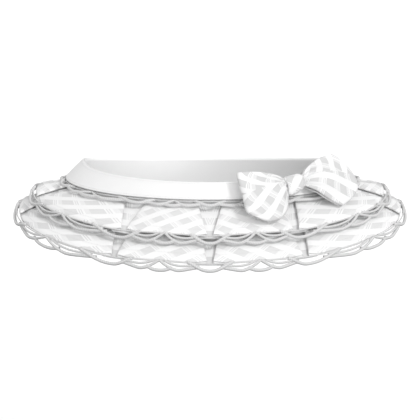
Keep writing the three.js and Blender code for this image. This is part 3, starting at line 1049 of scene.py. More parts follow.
TIER_TABLE = (
    TierRow(0.00, 2.2, -2.0),
    TierRow(0.20, 2.3, 0.6),
    TierRow(0.60, 2.7, 2.2),
    TierRow(0.96, 2.7, 2.4),
    TierRow(1.00, 2.7, 2.2),
)
TIER_DROPS = (
    0, 0.06, 0.13, 0.2, 0.27, 0.34, 0.41, 0.48, 0.55, 0.62, 0.69, 0.76, 0.82, 0.87, 0.91, 0.94, 0.96)
HEM_START = 0.82  # drop where a panel starts to bend in towards its hem
HEM_BEND = 1.3  # how far it bends in, in millimetres
HEM_SLIDE = 0.15  # share of the drop over which the hem takes up its extra length
HEM_STITCHES = TierRow(0.9, 2.7, 2.33)
STITCH_MARGIN = 0.012  # radians left free of stitches beside a pleat
HEM_TURN = ((1.7, 1.9), (2.1, 1.1), (2.6, 0.45), (3.1, 0.1), (3.5, 0.05), (3.9, 0.4), (4.1, 1.0), (4.2, 1.9))


def tier_rows() -> tuple[TierRow, ...]:
    """Rows of a tier for a smooth piece of cloth, from its seam to the turned-in hem.

    Returns:
        The rows.
    """
    rows = []
    for drop in TIER_DROPS:
        i = max(k for k in range(len(TIER_TABLE) - 1) if TIER_TABLE[k].drop <= drop)
        a, b = TIER_TABLE[i], TIER_TABLE[i + 1]
        t = (drop - a.drop) / (b.drop - a.drop)
        roll = HEM_BEND * max(0.0, (drop - HEM_START) / (TIER_DROPS[-1] - HEM_START)) ** 2
        rows.append(TierRow(drop, lerp(a.layer, b.layer, t), lerp(a.pillow, b.pillow, t), roll))
    last = TIER_TABLE[-1]
    rows += [TierRow(1.0, last.layer, last.pillow, roll, tuck) for roll, tuck in HEM_TURN]
    return tuple(rows)


@dataclass(frozen=True)
class Column:
    """A column of a pleat: where it lies in multiples of the half gap, the fold and the layer step."""

    gaps: float
    folds: float
    turns: float
    level: float
    lift: float = 0.0
    hang: float = 0.0
    rolled: float = 0.2
    under: bool = False

    def mirrored(self) -> Column:
        """The same column on the other side of the pleat."""
        return Column(-self.gaps, -self.folds, -self.turns, self.level, self.lift, self.hang, self.rolled,
                      self.under)


def pleat_columns() -> tuple[Column, ...]:
    """Columns of one side of a pleat, from the panel before it to the middle of its underlay.

    Returns:
        The columns: panel edge, the turn under it, the hidden fold, the turn back and the underlay.
    """
    steps = 5
    panel = [Column(-1, -1.25 * (1 - k / 3), 0, 0, lift=k / 3, rolled=lerp(0.9, 0.35, k / 3))
             for k in range(4)]
    turns = [k * math.pi / steps for k in range(1, steps)]
    edge = [Column(-1, 0, 0.8 * math.sin(t), -0.5 * (1 - math.cos(t)), lift=1 - t / math.pi / 2)
            for t in turns]
    hidden = [Column(-1, -k / 3, 0, -1.0) for k in range(4)]
    back = [Column(-1, -1, -0.8 * math.sin(t), -1 - 0.5 * (1 - math.cos(t)), hang=t / math.pi / 2)
            for t in turns]
    under = [Column(k / 4 - 1, k / 4 - 1, 0, -2 - 0.1 * k / 4, hang=lerp(0.5, 1, k / 4), under=True)
             for k in range(5)]
    return (*panel, *edge, *hidden, *back, *under)


SETT_ALONG = (12.3, 13.4)  # one repeat of the checks down to the right on the cloth, in millimetres
SETT_ACROSS = (-19.0, 13.4)  # one repeat down to the left

FRONT_PANEL = 26.0  # degrees from pleat to pleat of a panel beside the middle of the front
MOST_STRETCH = 1.7  # of the checks along a wide panel


def sett_place(u: float, v: float) -> tuple[float, float]:
    """Place on the cloth counted in tartan repeats.

    Args:
        u: Millimetres to the right of a check's middle.
        v: Millimetres below it.

    Returns:
        Repeats across the broad stripes and across the fine lines.
    """
    (ax, ay), (bx, by) = SETT_ALONG, SETT_ACROSS
    area = ax * by - ay * bx
    return (u * by - v * bx) / area, (ax * v - ay * u) / area


UNDERLAY_BAND = 22.0  # one repeat of the checks down an underlay
UNDERLAY_LINES = 26.0  # one repeat of its fine lines across
UNDERLAY_POINT = -22.0  # where the fine lines of its two sides meet, from the hem
UNDERLAY_SLANT = 0.29  # how fast the fine lines draw together on the way down
LINES_MIDDLE = -0.39  # place of the fine lines in a repeat


def underlay_place(u: float, v: float) -> tuple[float, float]:
    """Place on a pleat's underlay counted in tartan repeats: two bias pieces joined down its middle.

    Args:
        u: Millimetres from its middle.
        v: Millimetres below the hem.

    Returns:
        Repeats across the broad stripes and across the fine lines.
    """
    aside = -abs(u) + UNDERLAY_SLANT * (UNDERLAY_POINT - v)
    return (v + 5.0) / UNDERLAY_BAND, LINES_MIDDLE - aside / UNDERLAY_LINES


@dataclass
class Flounce:
    """A tier of box-pleated cloth on the bias, front and back."""

    name: str
    layer: Layer
    pleats: PleatRing
    check_at: tuple[float, float] = (2.1, -5.2)  # middle of a check from the middle of a panel's hem
    check_scale: tuple[float, float] = (1.0, 1.0)
    underlay_drop: float = 0.6
    corner_lift: float = 1.6
    panel_step: float = math.radians(2.2)
    wave: float = 0.9
    seed: float = 0.0
    rows: tuple[TierRow, ...] = field(default_factory=tier_rows)

    def panel_edge(self, index: int, side: int, drop: float) -> float:
        """Angle where the panel beside a pleat begins.

        Args:
            index: The pleat.
            side: 1 after the pleat or -1 before it.
            drop: How far down the tier.

        Returns:
            The angle in radians.
        """
        middle = self.pleats.angle(index, drop)
        spot = self.layer.spot(middle, min(drop, 1.0))
        return middle + side * self.pleats.pleat(index).half_gap(drop) / spot.per_radian

    def swell(self, index: int, angle: float, row: TierRow) -> float:
        """How far the panel after pleat index stands out at an angle.

        Args:
            index: The pleat before the panel.
            angle: Radians round the waist.
            row: The row of the tier.

        Returns:
            The height in millimetres.
        """
        start, end = self.panel_edge(index, 1, row.drop), self.panel_edge(index + 1, -1, row.drop)
        share = min(max((angle - start) / (end - start), 0.0), 1.0)
        soft = uneven(angle * 7.0 + self.seed, row.drop * 1.6, self.seed)
        ridge = uneven(angle * 19.0, row.drop * 0.9, self.seed + 3.0)
        crease = (0.7 * soft + 0.3 * ridge) * self.wave * row.drop
        return (row.pillow + crease) * math.sin(math.pi * share)

    def point(self, angle: float, row: TierRow, level: float, hang: float, rolled: float) -> np.ndarray:
        """Point of the cloth.

        Args:
            angle: Radians round the waist.
            row: Its row.
            level: Height above the panels in millimetres.
            hang: Extra length of the hem.
            rolled: How far the hem turns in there, 0 to 1.

        Returns:
            The point in millimetres.
        """
        spot = self.layer.spot(angle, row.drop)
        at_hem = min(max((row.drop - HEM_START) / HEM_SLIDE, 0.0), 1.0)
        slide = at_hem * hang - row.tuck * rolled
        return spot.at + spot.down * min(slide, spot.per_drop) + spot.out * (level - row.roll * rolled)

    def pleat_point(self, index: int, column: Column, row: TierRow) -> np.ndarray:
        """Point of a pleat's column on a row.

        Args:
            index: The pleat.
            column: Its column.
            row: The row of the tier.

        Returns:
            The point in millimetres.
        """
        pleat = self.pleats.pleat(index)
        middle = self.pleats.angle(index, row.drop)
        spot = self.layer.spot(middle, row.drop)
        reach = (column.gaps * pleat.half_gap(row.drop) + column.folds * pleat.fold
                 + column.turns * row.layer / 2)
        angle = middle + reach / spot.per_radian
        swell = self.swell(index - (1 if reach < 0 else 0), angle, row) if column.level > -0.1 else 0.0
        hang = column.hang * self.underlay_drop - column.lift * self.corner_lift
        return self.point(angle, row, column.level * row.layer + swell, hang, column.rolled)

    def columns(self, half: Half) -> list[tuple[Callable[[TierRow], np.ndarray], int, bool]]:
        """Columns of one half from seam to seam.

        Args:
            half: Front or back.

        Returns:
            For each column its point on a row, the panel it belongs to and whether it is underlay.
        """
        first, last = (1, 5) if half is Half.FRONT else (6, 8)
        made: list[tuple[Callable[[TierRow], np.ndarray], int, bool]] = []

        def seam(row: TierRow, side: int) -> float:
            """Angle of a side seam."""
            return self.layer.seams(half, row.drop)[side]

        def beyond(row: TierRow, index: int, side: int) -> float:
            """Angle where the columns of a pleat end.

            Args:
                row: The row of the tier.
                index: The pleat.
                side: 1 after the pleat or -1 before it.

            Returns:
                The angle in radians.
            """
            pleat, middle = self.pleats.pleat(index), self.pleats.angle(index, row.drop)
            spot = self.layer.spot(middle, row.drop)
            return middle + side * (pleat.half_gap(row.drop) + 1.25 * pleat.fold) / spot.per_radian

        def panel(index: int, start: Callable[[TierRow], float], end: Callable[[TierRow], float],
                  with_start: bool, with_end: bool) -> None:
            """Adds the columns of a panel between two angles.

            Args:
                index: The pleat before the panel.
                start: Angle where it starts, for a row.
                end: Angle where it ends, for a row.
                with_start: Whether a column stands at its start.
                with_end: Whether a column stands at its end.
            """
            top = self.rows[0]
            count = max(1, round((end(top) - start(top)) / self.panel_step))
            shares = range(0 if with_start else 1, count + 1 + (1 if with_end else 0))
            for k in shares:
                def at(row: TierRow, share: float = k / (count + 1)) -> np.ndarray:
                    """Point of the panel on a row."""
                    angle = lerp(start(row), end(row), share)
                    return self.point(angle, row, self.swell(index, angle, row), 0.0, 1.0)
                made.append((at, index, False))

        half_pleat = pleat_columns()
        whole = [*half_pleat, *(c.mirrored() for c in reversed(half_pleat[:-1]))]
        panel(first - 1, lambda row: seam(row, 0), lambda row: beyond(row, first, -1), True, False)
        for i in range(first, last + 1):
            for k, column in enumerate(whole):
                owner = i - 1 if k < len(half_pleat) else i
                made.append((
                    lambda row, i=i, column=column: self.pleat_point(i, column, row), owner, column.under))
            if i < last:
                panel(i, lambda row, i=i: beyond(row, i, 1), lambda row, i=i: beyond(row, i + 1, -1),
                      False, False)
            else:
                panel(i, lambda row: beyond(row, last, 1), lambda row: seam(row, 1), False, True)
        return made

    def half(self, half: Half, material: bpy.types.Material) -> bpy.types.Object:
        """One half of the tier.

        Args:
            half: Front or back.
            material: Its finish.

        Returns:
            The piece.
        """
        columns = self.columns(half)
        grid = np.array([[at(row) for at, _, _ in columns] for row in self.rows])
        steps = np.linalg.norm(np.diff(grid, axis=1), axis=2)
        along = np.concatenate([np.zeros((len(grid), 1)), np.cumsum(steps, axis=1)], axis=1)
        down = np.concatenate([[0.0], np.cumsum(np.linalg.norm(np.diff(grid, axis=0), axis=2).mean(axis=1))])
        hem = down[len(TIER_DROPS)]
        middles = self.middles(half, columns, along)

        def corners(r: int, c: int) -> tuple[tuple[float, float], ...]:
            """Cloth coordinates of a face in tartan repeats.

            Args:
                r: The face's row.
                c: Its column.

            Returns:
                The coordinates of its four corners.
            """
            under = columns[c][2] and columns[c + 1][2]
            owner = columns[c + 1][1] if columns[c][2] and not under else columns[c][1]
            found = []
            for i, j in ((r, c), (r, c + 1), (r + 1, c + 1), (r + 1, c)):
                v = down[i] - hem
                if under:
                    found.append(underlay_place(along[i, j] - along[i, middles["under", c]], v))
                else:
                    u = (along[i, j] - middles["panel", owner][i]) / self.panel_stretch(owner)
                    side = -1.0 if math.sin(self.panel_middle(owner)) > 0 else 1.0
                    found.append(sett_place(
                        (side * u - self.check_at[0]) / self.check_scale[0],
                        (v - self.check_at[1]) / self.check_scale[1]))
            return tuple(found)

        piece = MeshMaker.cloth(f"{self.name}_{half.value}_cloth", Patch(grid, corners), CLOTH, material)
        dress(piece, "tartan", f"{self.name}_{half.value}")
        self.cut = cut_of(grid)
        return piece

    def panel_middle(self, index: int) -> float:
        """Angle of the middle of the panel after pleat index."""
        return (self.pleats.angle(index) + self.pleats.angle(index + 1)) / 2

    def panel_stretch(self, index: int) -> float:
        """How much wider a panel is than a front one, which draws its checks out along the hem."""
        wide = self.pleats.angle(index + 1) - self.pleats.angle(index)
        return min(max(wide / math.radians(FRONT_PANEL), 1.0), MOST_STRETCH)

    def middles(self, half: Half, columns: Sequence[tuple], along: np.ndarray) -> dict:
        """Where the cloth coordinates of each panel and underlay start.

        Args:
            half: Front or back.
            columns: The columns of the half.
            along: Length along each row at each column.

        Returns:
            For each panel its middle's length on each row, and for each underlay face its middle column.
        """
        found: dict = {}
        owners = sorted({owner for _, owner, _ in columns})
        start, end = self.layer.seams(half, 0.5)
        for owner in owners:
            members = [k for k, (_, panel, under) in enumerate(columns) if panel == owner and not under]
            low, high = along[:, members[0]], along[:, members[-1]]
            if owner == owners[0]:
                low = high - (high - low) * self.shown_share(owner, start, False)
            if owner == owners[-1]:
                high = low + (high - low) * self.shown_share(owner, end, True)
            found["panel", owner] = (low + high) / 2
        k = 0
        while k < len(columns):
            if columns[k][2]:
                first = k
                while columns[k + 1][2]:
                    k += 1
                for c in range(first, k):
                    found["under", c] = (first + k) // 2
            k += 1
        return found

    def shown_share(self, index: int, seam: float, ends_at_seam: bool) -> float:
        """Whole width of a panel over the part of it on one side of a seam.

        Args:
            index: The pleat before the panel.
            seam: The seam's angle.
            ends_at_seam: Whether the part ends at the seam or starts there.

        Returns:
            The share, 1 or more.
        """
        low, high = self.pleats.angle(index), self.pleats.angle(index + 1)
        return (high - low) / ((seam - low) if ends_at_seam else (high - seam))

    def sew(self, stitching: Stitching) -> None:
        """Stitches the hem, panel by panel, a few millimetres above its fold.

        Args:
            stitching: Where the stitches go.
        """
        row = HEM_STITCHES
        for index in range(len(self.pleats.pleats)):
            start = self.panel_edge(index, 1, row.drop) + STITCH_MARGIN
            end = self.panel_edge(index + 1, -1, row.drop) - STITCH_MARGIN

            def place(angle: float, index: int = index) -> tuple[np.ndarray, np.ndarray]:
                """Point on the outer face of a panel and its outward direction.

                Args:
                    angle: Radians round the waist.
                    index: The pleat before the panel.

                Returns:
                    The point and the direction.
                """
                out = self.layer.spot(angle, row.drop).out
                at = self.point(angle, row, self.swell(index, angle, row) + CLOTH / 2, 0.0, 0.0)
                return at, out

            length = self.layer.spot((start + end) / 2, row.drop).per_radian * (end - start)
            stitching.run(place, start, end, length)


# --------------------------------------------------------------------------------------------- lace


@dataclass(frozen=True)
class LaceCord:
    """A cord of a lace repeat: places along the repeat and down it, and its stand-off at each."""

    places: tuple[tuple[float, float, float], ...]
    radius: float


LACE_CORDS = (
    LaceCord(((-0.215, -0.02, -0.6), (-0.17, 0.22, 0.2), (-0.12, 0.55, 0.9), (-0.055, 0.86, 0.7),
              (0.0, 0.93, 0.6), (0.055, 0.86, 0.7), (0.12, 0.55, 0.9), (0.17, 0.22, 0.2),
              (0.215, -0.02, -0.6)), 1.9),
    LaceCord(((0.10, 0.45, -0.7), (0.19, 0.7, -0.3), (0.3, 0.95, 0.4), (0.36, 0.84, 0.5),
              (0.41, 0.66, 0.2)), 1.85),
    LaceCord(((0.90, 0.45, -0.7), (0.81, 0.7, -0.3), (0.7, 0.95, 0.4), (0.64, 0.84, 0.5),
              (0.59, 0.66, 0.2)), 1.85),
    LaceCord(((0.37, 0.66, -0.5), (0.43, 0.95, 0.4), (0.5, 1.05, 0.6), (0.57, 0.95, 0.4),
              (0.63, 0.66, -0.5)), 1.9),
    LaceCord(((0.38, 0.78, 0.3), (0.44, 0.42, 0.5), (0.5, -0.02, -0.2)), 1.55),
    LaceCord(((0.62, 0.78, 0.3), (0.56, 0.42, 0.5), (0.5, -0.02, -0.2)), 1.55),
    LaceCord(((0.13, 0.2, -0.5), (0.2, 0.36, 0.1), (0.29, 0.44, 0.3), (0.38, 0.3, 0.1),
              (0.45, 0.0, -0.4)), 1.3),
    LaceCord(((0.87, 0.2, -0.5), (0.8, 0.36, 0.1), (0.71, 0.44, 0.3), (0.62, 0.3, 0.1),
              (0.55, 0.0, -0.4)), 1.3),
)


@dataclass
class LaceRow:
    """A row of corded lace under an edge, in two halves."""

    name: str
    layer: Layer
    pleats: PleatRing
    swell: float
    top: float = 0.0  # where the cords' own drop starts and ends on the row
    bottom: float = 1.0
    header_radius: float = 0.8
    finest: float = 0.0  # cords thinner than this are left out
    sides: int = 10

    def place(self, angle: float, drop: float, stand: float) -> np.ndarray:
        """Point of the lace.

        Args:
            angle: Radians round the waist.
            drop: How far down the row.
            stand: Height above the row's middle surface.

        Returns:
            The point in millimetres.
        """
        spot = self.layer.spot(angle, drop)
        _, share = self.pleats.share(angle)
        at = spot.at + spot.out * stand
        at[2] += self.swell * max(0.0, 1.0 - drop) * math.sin(math.pi * share)
        return at

    def half(self, half: Half, material: bpy.types.Material) -> bpy.types.Object:
        """One half of the row.

        Args:
            half: Front or back.
            material: Its finish.

        Returns:
            The piece.
        """
        bundle = TubeBundle(self.sides)
        start, end = self.layer.seams(half, 0.0)
        header = np.linspace(start, end, 240)
        bundle.add(np.array([self.place(a, 0.02, 0.0) for a in header]), [self.header_radius] * len(header))
        first, last = (-1, 7) if half is Half.FRONT else (4, 10)
        for index in range(first, last):
            for cord in (c for c in LACE_CORDS if c.radius > self.finest):
                self.cord(bundle, index, cord, start, end)
        piece = bundle.made(f"{self.name}_{half.value}_cords", material)
        return dress(piece, "lace", f"{self.name}_{half.value}")

    def cord(self, bundle: TubeBundle, index: int, cord: LaceCord, start: float, end: float) -> None:
        """Adds the part of a cord that lies between two seams.

        Args:
            bundle: Where the cords go.
            index: The pleat where the repeat starts.
            cord: The cord.
            start: Angle of the first seam.
            end: Angle of the second seam.
        """
        line = smooth_path([np.array(p) for p in cord.places], 5)
        inside = []
        for u, v, stand in line:
            other = self.pleats.angle(index + (1 if u >= 0 else -1))
            angle = lerp(self.pleats.angle(index), other, abs(u))
            if start < angle < end:
                inside.append(self.place(angle, lerp(self.top, self.bottom, v), stand))
        if len(inside) > 3:
            bundle.add(np.array(inside), [cord.radius] * len(inside))


# ---------------------------------------------------------------------------------------------- bow


@dataclass(frozen=True)
class Rib:
    """A rib of a ribbon loop, from the knot over its bend to its end."""

    start: float
    bend_out: float
    bend_up: float
    end_out: float
    end_up: float
    rest: float
    puff: float


@dataclass(frozen=True)
class KnotRing:
    """A section of the knot along the bow."""

    along: float
    centre: float
    half_height: float
    half_depth: float


@dataclass
class Bow:
    """A bow of tartan ribbon on the yoke: two loops gathered into a knot."""

    seat: Layer
    left: tuple[Rib, ...]
    right: tuple[Rib, ...]
    knot: tuple[KnotRing, ...]
    angle: float = 31.5
    drop: float = 0.75
    stand_off: float = 10.2
    heading: float = 32.0
    lean: float = 38.0
    tilt: float = 6.0
    knot_left: float = -10.5
    knot_right: float = 13.0
    knot_gap: float = 0.5
    layer_gap: float = 1.5
    fold: float = 2.6
    gather: float = 1.5
    gathers: float = 4.0
    ridge: float = 3.5

    def __post_init__(self) -> None:
        """Finds the bow's own axes on the yoke."""
        spot = self.seat.spot(math.radians(self.angle), self.drop)
        heading, lean, tilt = (math.radians(v) for v in (self.heading, self.lean, self.tilt))
        level = Vector((math.cos(heading), math.sin(heading), 0))
        ahead = math.cos(lean)
        away = Vector((math.sin(heading) * ahead, -math.cos(heading) * ahead, math.sin(lean)))
        turn = Matrix.Rotation(-tilt, 3, away)
        self.origin = spot.at + spot.out * self.stand_off
        self.along = np.array(turn @ level)
        self.up = np.array(turn @ away.cross(level))
        self.away = np.array(away)

    def point(self, along: float, up: float, away: float) -> np.ndarray:
        """Point of the bow from its own axes."""
        return self.origin + self.along * along + self.up * up + self.away * away

    def loop(self, name: str, ribs: tuple[Rib, ...], side: int, bands: RibbonPattern,
             material: bpy.types.Material) -> bpy.types.Object:
        """One loop of ribbon.

        Args:
            name: The node that it stands for.
            ribs: Its ribs from the top edge to the bottom edge.
            side: -1 to the left or 1 to the right.
            bands: How the tartan lies on it.
            material: Its finish.

        Returns:
            The piece.
        """
        across, fronts, backs = 42, 30, 16
        knot_edge = (-self.knot_left if side < 0 else self.knot_right) + self.knot_gap + CLOTH / 4
        grid = np.array([self.rib_line(ribs, (len(ribs) - 1) * k / across, knot_edge, side, fronts, backs,
                                       bands.crease)
                         for k in range(across + 1)])
        steps = np.linalg.norm(np.diff(grid, axis=1), axis=2)
        along = np.concatenate([np.zeros((len(grid), 1)), np.cumsum(steps, axis=1)], axis=1)
        middle = fronts // 2
        width = np.concatenate([[0.0], np.cumsum(np.linalg.norm(np.diff(grid[:, middle], axis=0), axis=1))])

        def corners(r: int, c: int) -> tuple[tuple[float, float], ...]:
            """Cloth coordinates of a face in tartan repeats.

            Args:
                r: The face's row.
                c: Its column.

            Returns:
                The coordinates of its four corners.
            """
            return tuple(
                bands.place(along[i, j], width[i], r < bands.crease * across)
                for i, j in ((r, c), (r, c + 1), (r + 1, c + 1), (r + 1, c)))

        piece = MeshMaker.cloth(f"{name}_ribbon", Patch(grid, corners), CLOTH, material)
        dress(piece, "tartan", name)
        flat, area = cut_of(grid.swapaxes(0, 1))
        return piece

    def rib_line(self, ribs: tuple[Rib, ...], place: float, knot_edge: float, side: int, fronts: int,
                 backs: int, crease: float) -> list[np.ndarray]:
        """Points along the ribbon at a place across it, out over the front and back behind.

        Args:
            ribs: The loop's ribs.
            place: The place across the ribbon, counted in ribs.
            knot_edge: How far from the bow's middle the ribbon leaves the knot.
            side: -1 to the left or 1 to the right.
            fronts: Steps along the front.
            backs: Steps along the back.
            crease: Share of the ribbon's width where the front comes to a ridge.

        Returns:
            The points in millimetres.
        """
        start, bend_out, bend_up, end_out, end_up, rest, puff = (
            through([getattr(rib, key) for rib in ribs], place)
            for key in ("start", "bend_out", "bend_up", "end_out", "end_up", "rest", "puff"))

        def flat(share: float) -> tuple[float, float]:
            """Where the ribbon lies in the bow's plane at a share from the knot to its end.

            Args:
                share: The share, 0 at the knot.

            Returns:
                How far along and how far up, in millimetres.
            """
            left = 1 - share
            return (left**2 * knot_edge + 2 * left * share * bend_out + share**2 * end_out,
                    left**2 * start + 2 * left * share * bend_up + share**2 * end_up)

        def crimp(share: float) -> float:
            """Height of the gathers, which fade away from the knot.

            Args:
                share: The share from the knot to the end.

            Returns:
                The height in millimetres.
            """
            turn = self.gathers * FULL_TURN * place / (len(ribs) - 1)
            wave = math.cos(turn + 1.3 * uneven(place, share * 2, side))
            return self.gather * wave * math.exp(-share / 0.22) * min(1.0, share / 0.06)

        inset = len(ribs) - 1 - place
        closed = lerp(0.3, 1.0, min(1.0, inset / 1.3) ** 0.6)  # a loop is flatter at its lower edge
        fold = self.fold * closed
        line = []
        for k in range(fronts + 1):
            share = (k / fronts) ** 1.25
            out, up = flat(share)
            swell = puff * closed * math.sin(math.pi * share**0.7) * (1 - 0.35 * share)
            turn = lerp(self.layer_gap, rest + 2 * fold, min(1.0, share * 3))
            ridge = self.ridge * max(0.0, 1 - abs(place / (len(ribs) - 1) - crease) / 0.32)
            swell += ridge * math.sin(math.pi * min(1.0, share * 0.8 + 0.05))
            soft = 0.6 * uneven(out * 0.05, up * 0.07, 5.0 + side) * min(1.0, share * 2)
            line.append(self.point(side * out, up, turn + swell + crimp(share) + soft))
        end_out_at, end_up_at = flat(1.0)
        for k in range(1, 6):
            turn = math.pi * k / 6
            line.append(self.point(side * (end_out_at + fold * math.sin(turn)), end_up_at,
                                   rest + fold * (1 + math.cos(turn))))
        for k in range(backs + 1):
            share = 1 - k / backs
            out, up = flat(share)
            line.append(self.point(side * out, up, lerp(-self.layer_gap, rest, min(1.0, share * 3))))
        return line

    def wrap(self, material: bpy.types.Material) -> bpy.types.Object:
        """The knot: a band of ribbon wrapped round the loops' roots, with soft gathers along it.

        Args:
            material: Its finish.

        Returns:
            The piece.
        """
        sides, rings = 56, 22
        table = {key: [getattr(ring, key) for ring in self.knot]
                 for key in ("along", "centre", "half_height", "half_depth")}
        grid = np.empty((rings + 5, sides + 1, 3))
        ends = ((0.0, 0.5), (0.0, 0.8))
        places = [*ends, *((lerp(0.0, len(self.knot) - 1, k / rings), 1.0) for k in range(rings + 1)),
                  (len(self.knot) - 1, 0.8), (len(self.knot) - 1, 0.5)]
        for r, (place, size) in enumerate(places):
            along, centre, high, deep = (through(table[key], place) for key in table)
            for k in range(sides + 1):
                turn = FULL_TURN * k / sides
                soft = 0.25 * uneven(along * 3, math.cos(turn) * 2, 2.0)
                fold = 0.35 * math.sin(5 * turn + 2.0 * along) + soft
                grid[r, k] = self.point(
                    lerp(self.knot_left, self.knot_right, along),
                    centre + size * (high - 0.5 + fold) * math.cos(turn),
                    size * (deep - 0.5 + fold) * math.sin(turn))

        def corners(r: int, c: int) -> tuple[tuple[float, float], ...]:
            """Cloth coordinates of a face in tartan repeats."""
            return tuple(sett_place(j * 1.2 - 9.0, i * 1.1 - 8.0)
                         for i, j in ((r, c), (r, c + 1), (r + 1, c + 1), (r + 1, c)))

        piece = MeshMaker.cloth("bow_knot_wrap", Patch(grid, corners), 0.7, material)
        dress(piece, "tartan", "bow_knot")
        return piece


@dataclass(frozen=True)
class RibbonPattern:
    """How the tartan lies on a loop: its turn on either side of a crease, in degrees."""

    crease: float
    upper_turn: float
    lower_turn: float
    upper_flip: float = -1.0
    start: tuple[float, float] = (0.0, 0.0)
    repeat: tuple[float, float] = (18.0, 20.5)

    def place(self, along: float, across: float, upper: bool) -> tuple[float, float]:
        """Place on the ribbon in tartan repeats.

        Args:
            along: Millimetres out from the knot.
            across: Millimetres from the top edge.
            upper: Whether it lies above the crease.

        Returns:
            Repeats across the broad stripes and across the fine lines.
        """
        turn = math.radians(self.upper_turn if upper else self.lower_turn)
        flip = self.upper_flip if upper else 1.0
        x = along * math.cos(turn) + flip * across * math.sin(turn) + self.start[0]
        y = -along * math.sin(turn) + flip * across * math.cos(turn) + self.start[1]
        return y / self.repeat[0], x / self.repeat[1]


# ---------------------------------------------------------------------------------------- the skirt

PLEATS = PleatRing((
    Pleat(-132, 15, 7, 10),
    Pleat(-75, 18, 9, 9),
    Pleat(-26, 17, 4.8, 10, lean=-3.5),
    Pleat(0, 17, 4.8, 10),
    Pleat(26, 17, 4.8, 10, lean=3.5),
    Pleat(75, 18, 9, 9),
    Pleat(132, 15, 7, 10),
    Pleat(180, 15, 7, 10),
))

YOKE = Layer((
    Ring(0.0, 161.3, 133.3, 84.3, 0, 0, -18),
    Ring(0.5, 173.2, 139.8, 94.2, -11.2, -8.6, -27),
    Ring(1.0, 184.5, 146.4, 103.5, -22.5, -17.5, -36.5),
), rounded=True)
FACING = Layer((
    Ring(0.0, 159.7, 131.7, 82.7, -0.3, -0.3, -18.3),
    Ring(0.3, 170.0, 133.2, 88.4, -23, -20, -36),
    Ring(0.6, 176.2, 136.2, 93.2, -43, -42, -53),
    Ring(1.0, 181.0, 141.0, 97.5, -69, -69, -75),
), rounded=True)
TIER_1 = Layer((
    Ring(0.0, 175.5, 139.0, 95.5, -19.5, -14.5, -33.5),
    Ring(0.2, 181.5, 142.5, 99.0, -30.3, -24.8, -43.8),
    Ring(1.0, 223.0, 194.0, 148.0, -34.5, -44.5, -62),
))
TIER_2 = Layer((
    Ring(0.0, 179.0, 140.5, 98.6, -38.5, -34, -53),
    Ring(0.4, 205.0, 165.0, 122.0, -43.5, -44, -62.5),
    Ring(1.0, 245.5, 215.0, 168.0, -55.5, -69.5, -87),
))
LACE_YOKE = Layer((
    Ring(0, 183.7, 145.2, 102.8, -25.2, -19.8, -38.9),
    Ring(1, 194.0, 154.5, 112.0, -26.6, -24.4, -43.8),
))
LACE_TIER_1 = Layer((
    Ring(0, 225.5, 196.3, 150.4, -36.1, -46.3, -63.8),
    Ring(1, 230.3, 200.9, 155.1, -42.4, -53.7, -71.3),
))
LACE_TIER_2 = Layer((
    Ring(0, 247.7, 217.4, 170.4, -57.7, -71.9, -89.3),
    Ring(1, 250.0, 220.8, 173.6, -65.6, -79.4, -96.7),
))

LEFT_RIBS = (
    Rib(9.0, 34, 22, 66, 21, -5, 4),
    Rib(7.2, 36, 15, 67, 13, -5, 8),
    Rib(5.0, 38, 7, 67, 4, -5, 11),
    Rib(2.4, 40, -2, 67, -7, -4, 13),
    Rib(-0.4, 38, -15, 69, -19, -2, 12),
    Rib(-3.2, 35, -36, 71, -30, 2, 9),
    Rib(-6.0, 31, -62, 68, -37, 6, 5),
)
RIGHT_RIBS = (
    Rib(14.0, 32, 34, 68, 43, -5, 4),
    Rib(12.0, 40, 29, 80, 32, -5, 8),
    Rib(10.0, 44, 21, 87, 19, -5, 11),
    Rib(7.5, 46, 13, 90, 6, -4, 13),
    Rib(5.0, 44, 2, 86, -5, -1, 12),
    Rib(2.6, 38, -10, 72, -18, 3, 9),
    Rib(0.4, 28, -17, 52, -30, 7, 5),
)
LEFT_PATTERN = RibbonPattern(0.5, 41, 27, start=(-3.0, 2.0), repeat=(15.5, 18.0))
RIGHT_PATTERN = RibbonPattern(0.42, 58, 8, start=(2.0, 3.0))
KNOT_RINGS = (
    KnotRing(0.00, 1.0, 10.5, 6.5),
    KnotRing(0.15, 1.6, 12.0, 8.4),
    KnotRing(0.50, 3.5, 11.6, 9.2),
    KnotRing(0.85, 6.2, 10.6, 8.4),
    KnotRing(1.00, 7.0, 9.2, 6.5),
)


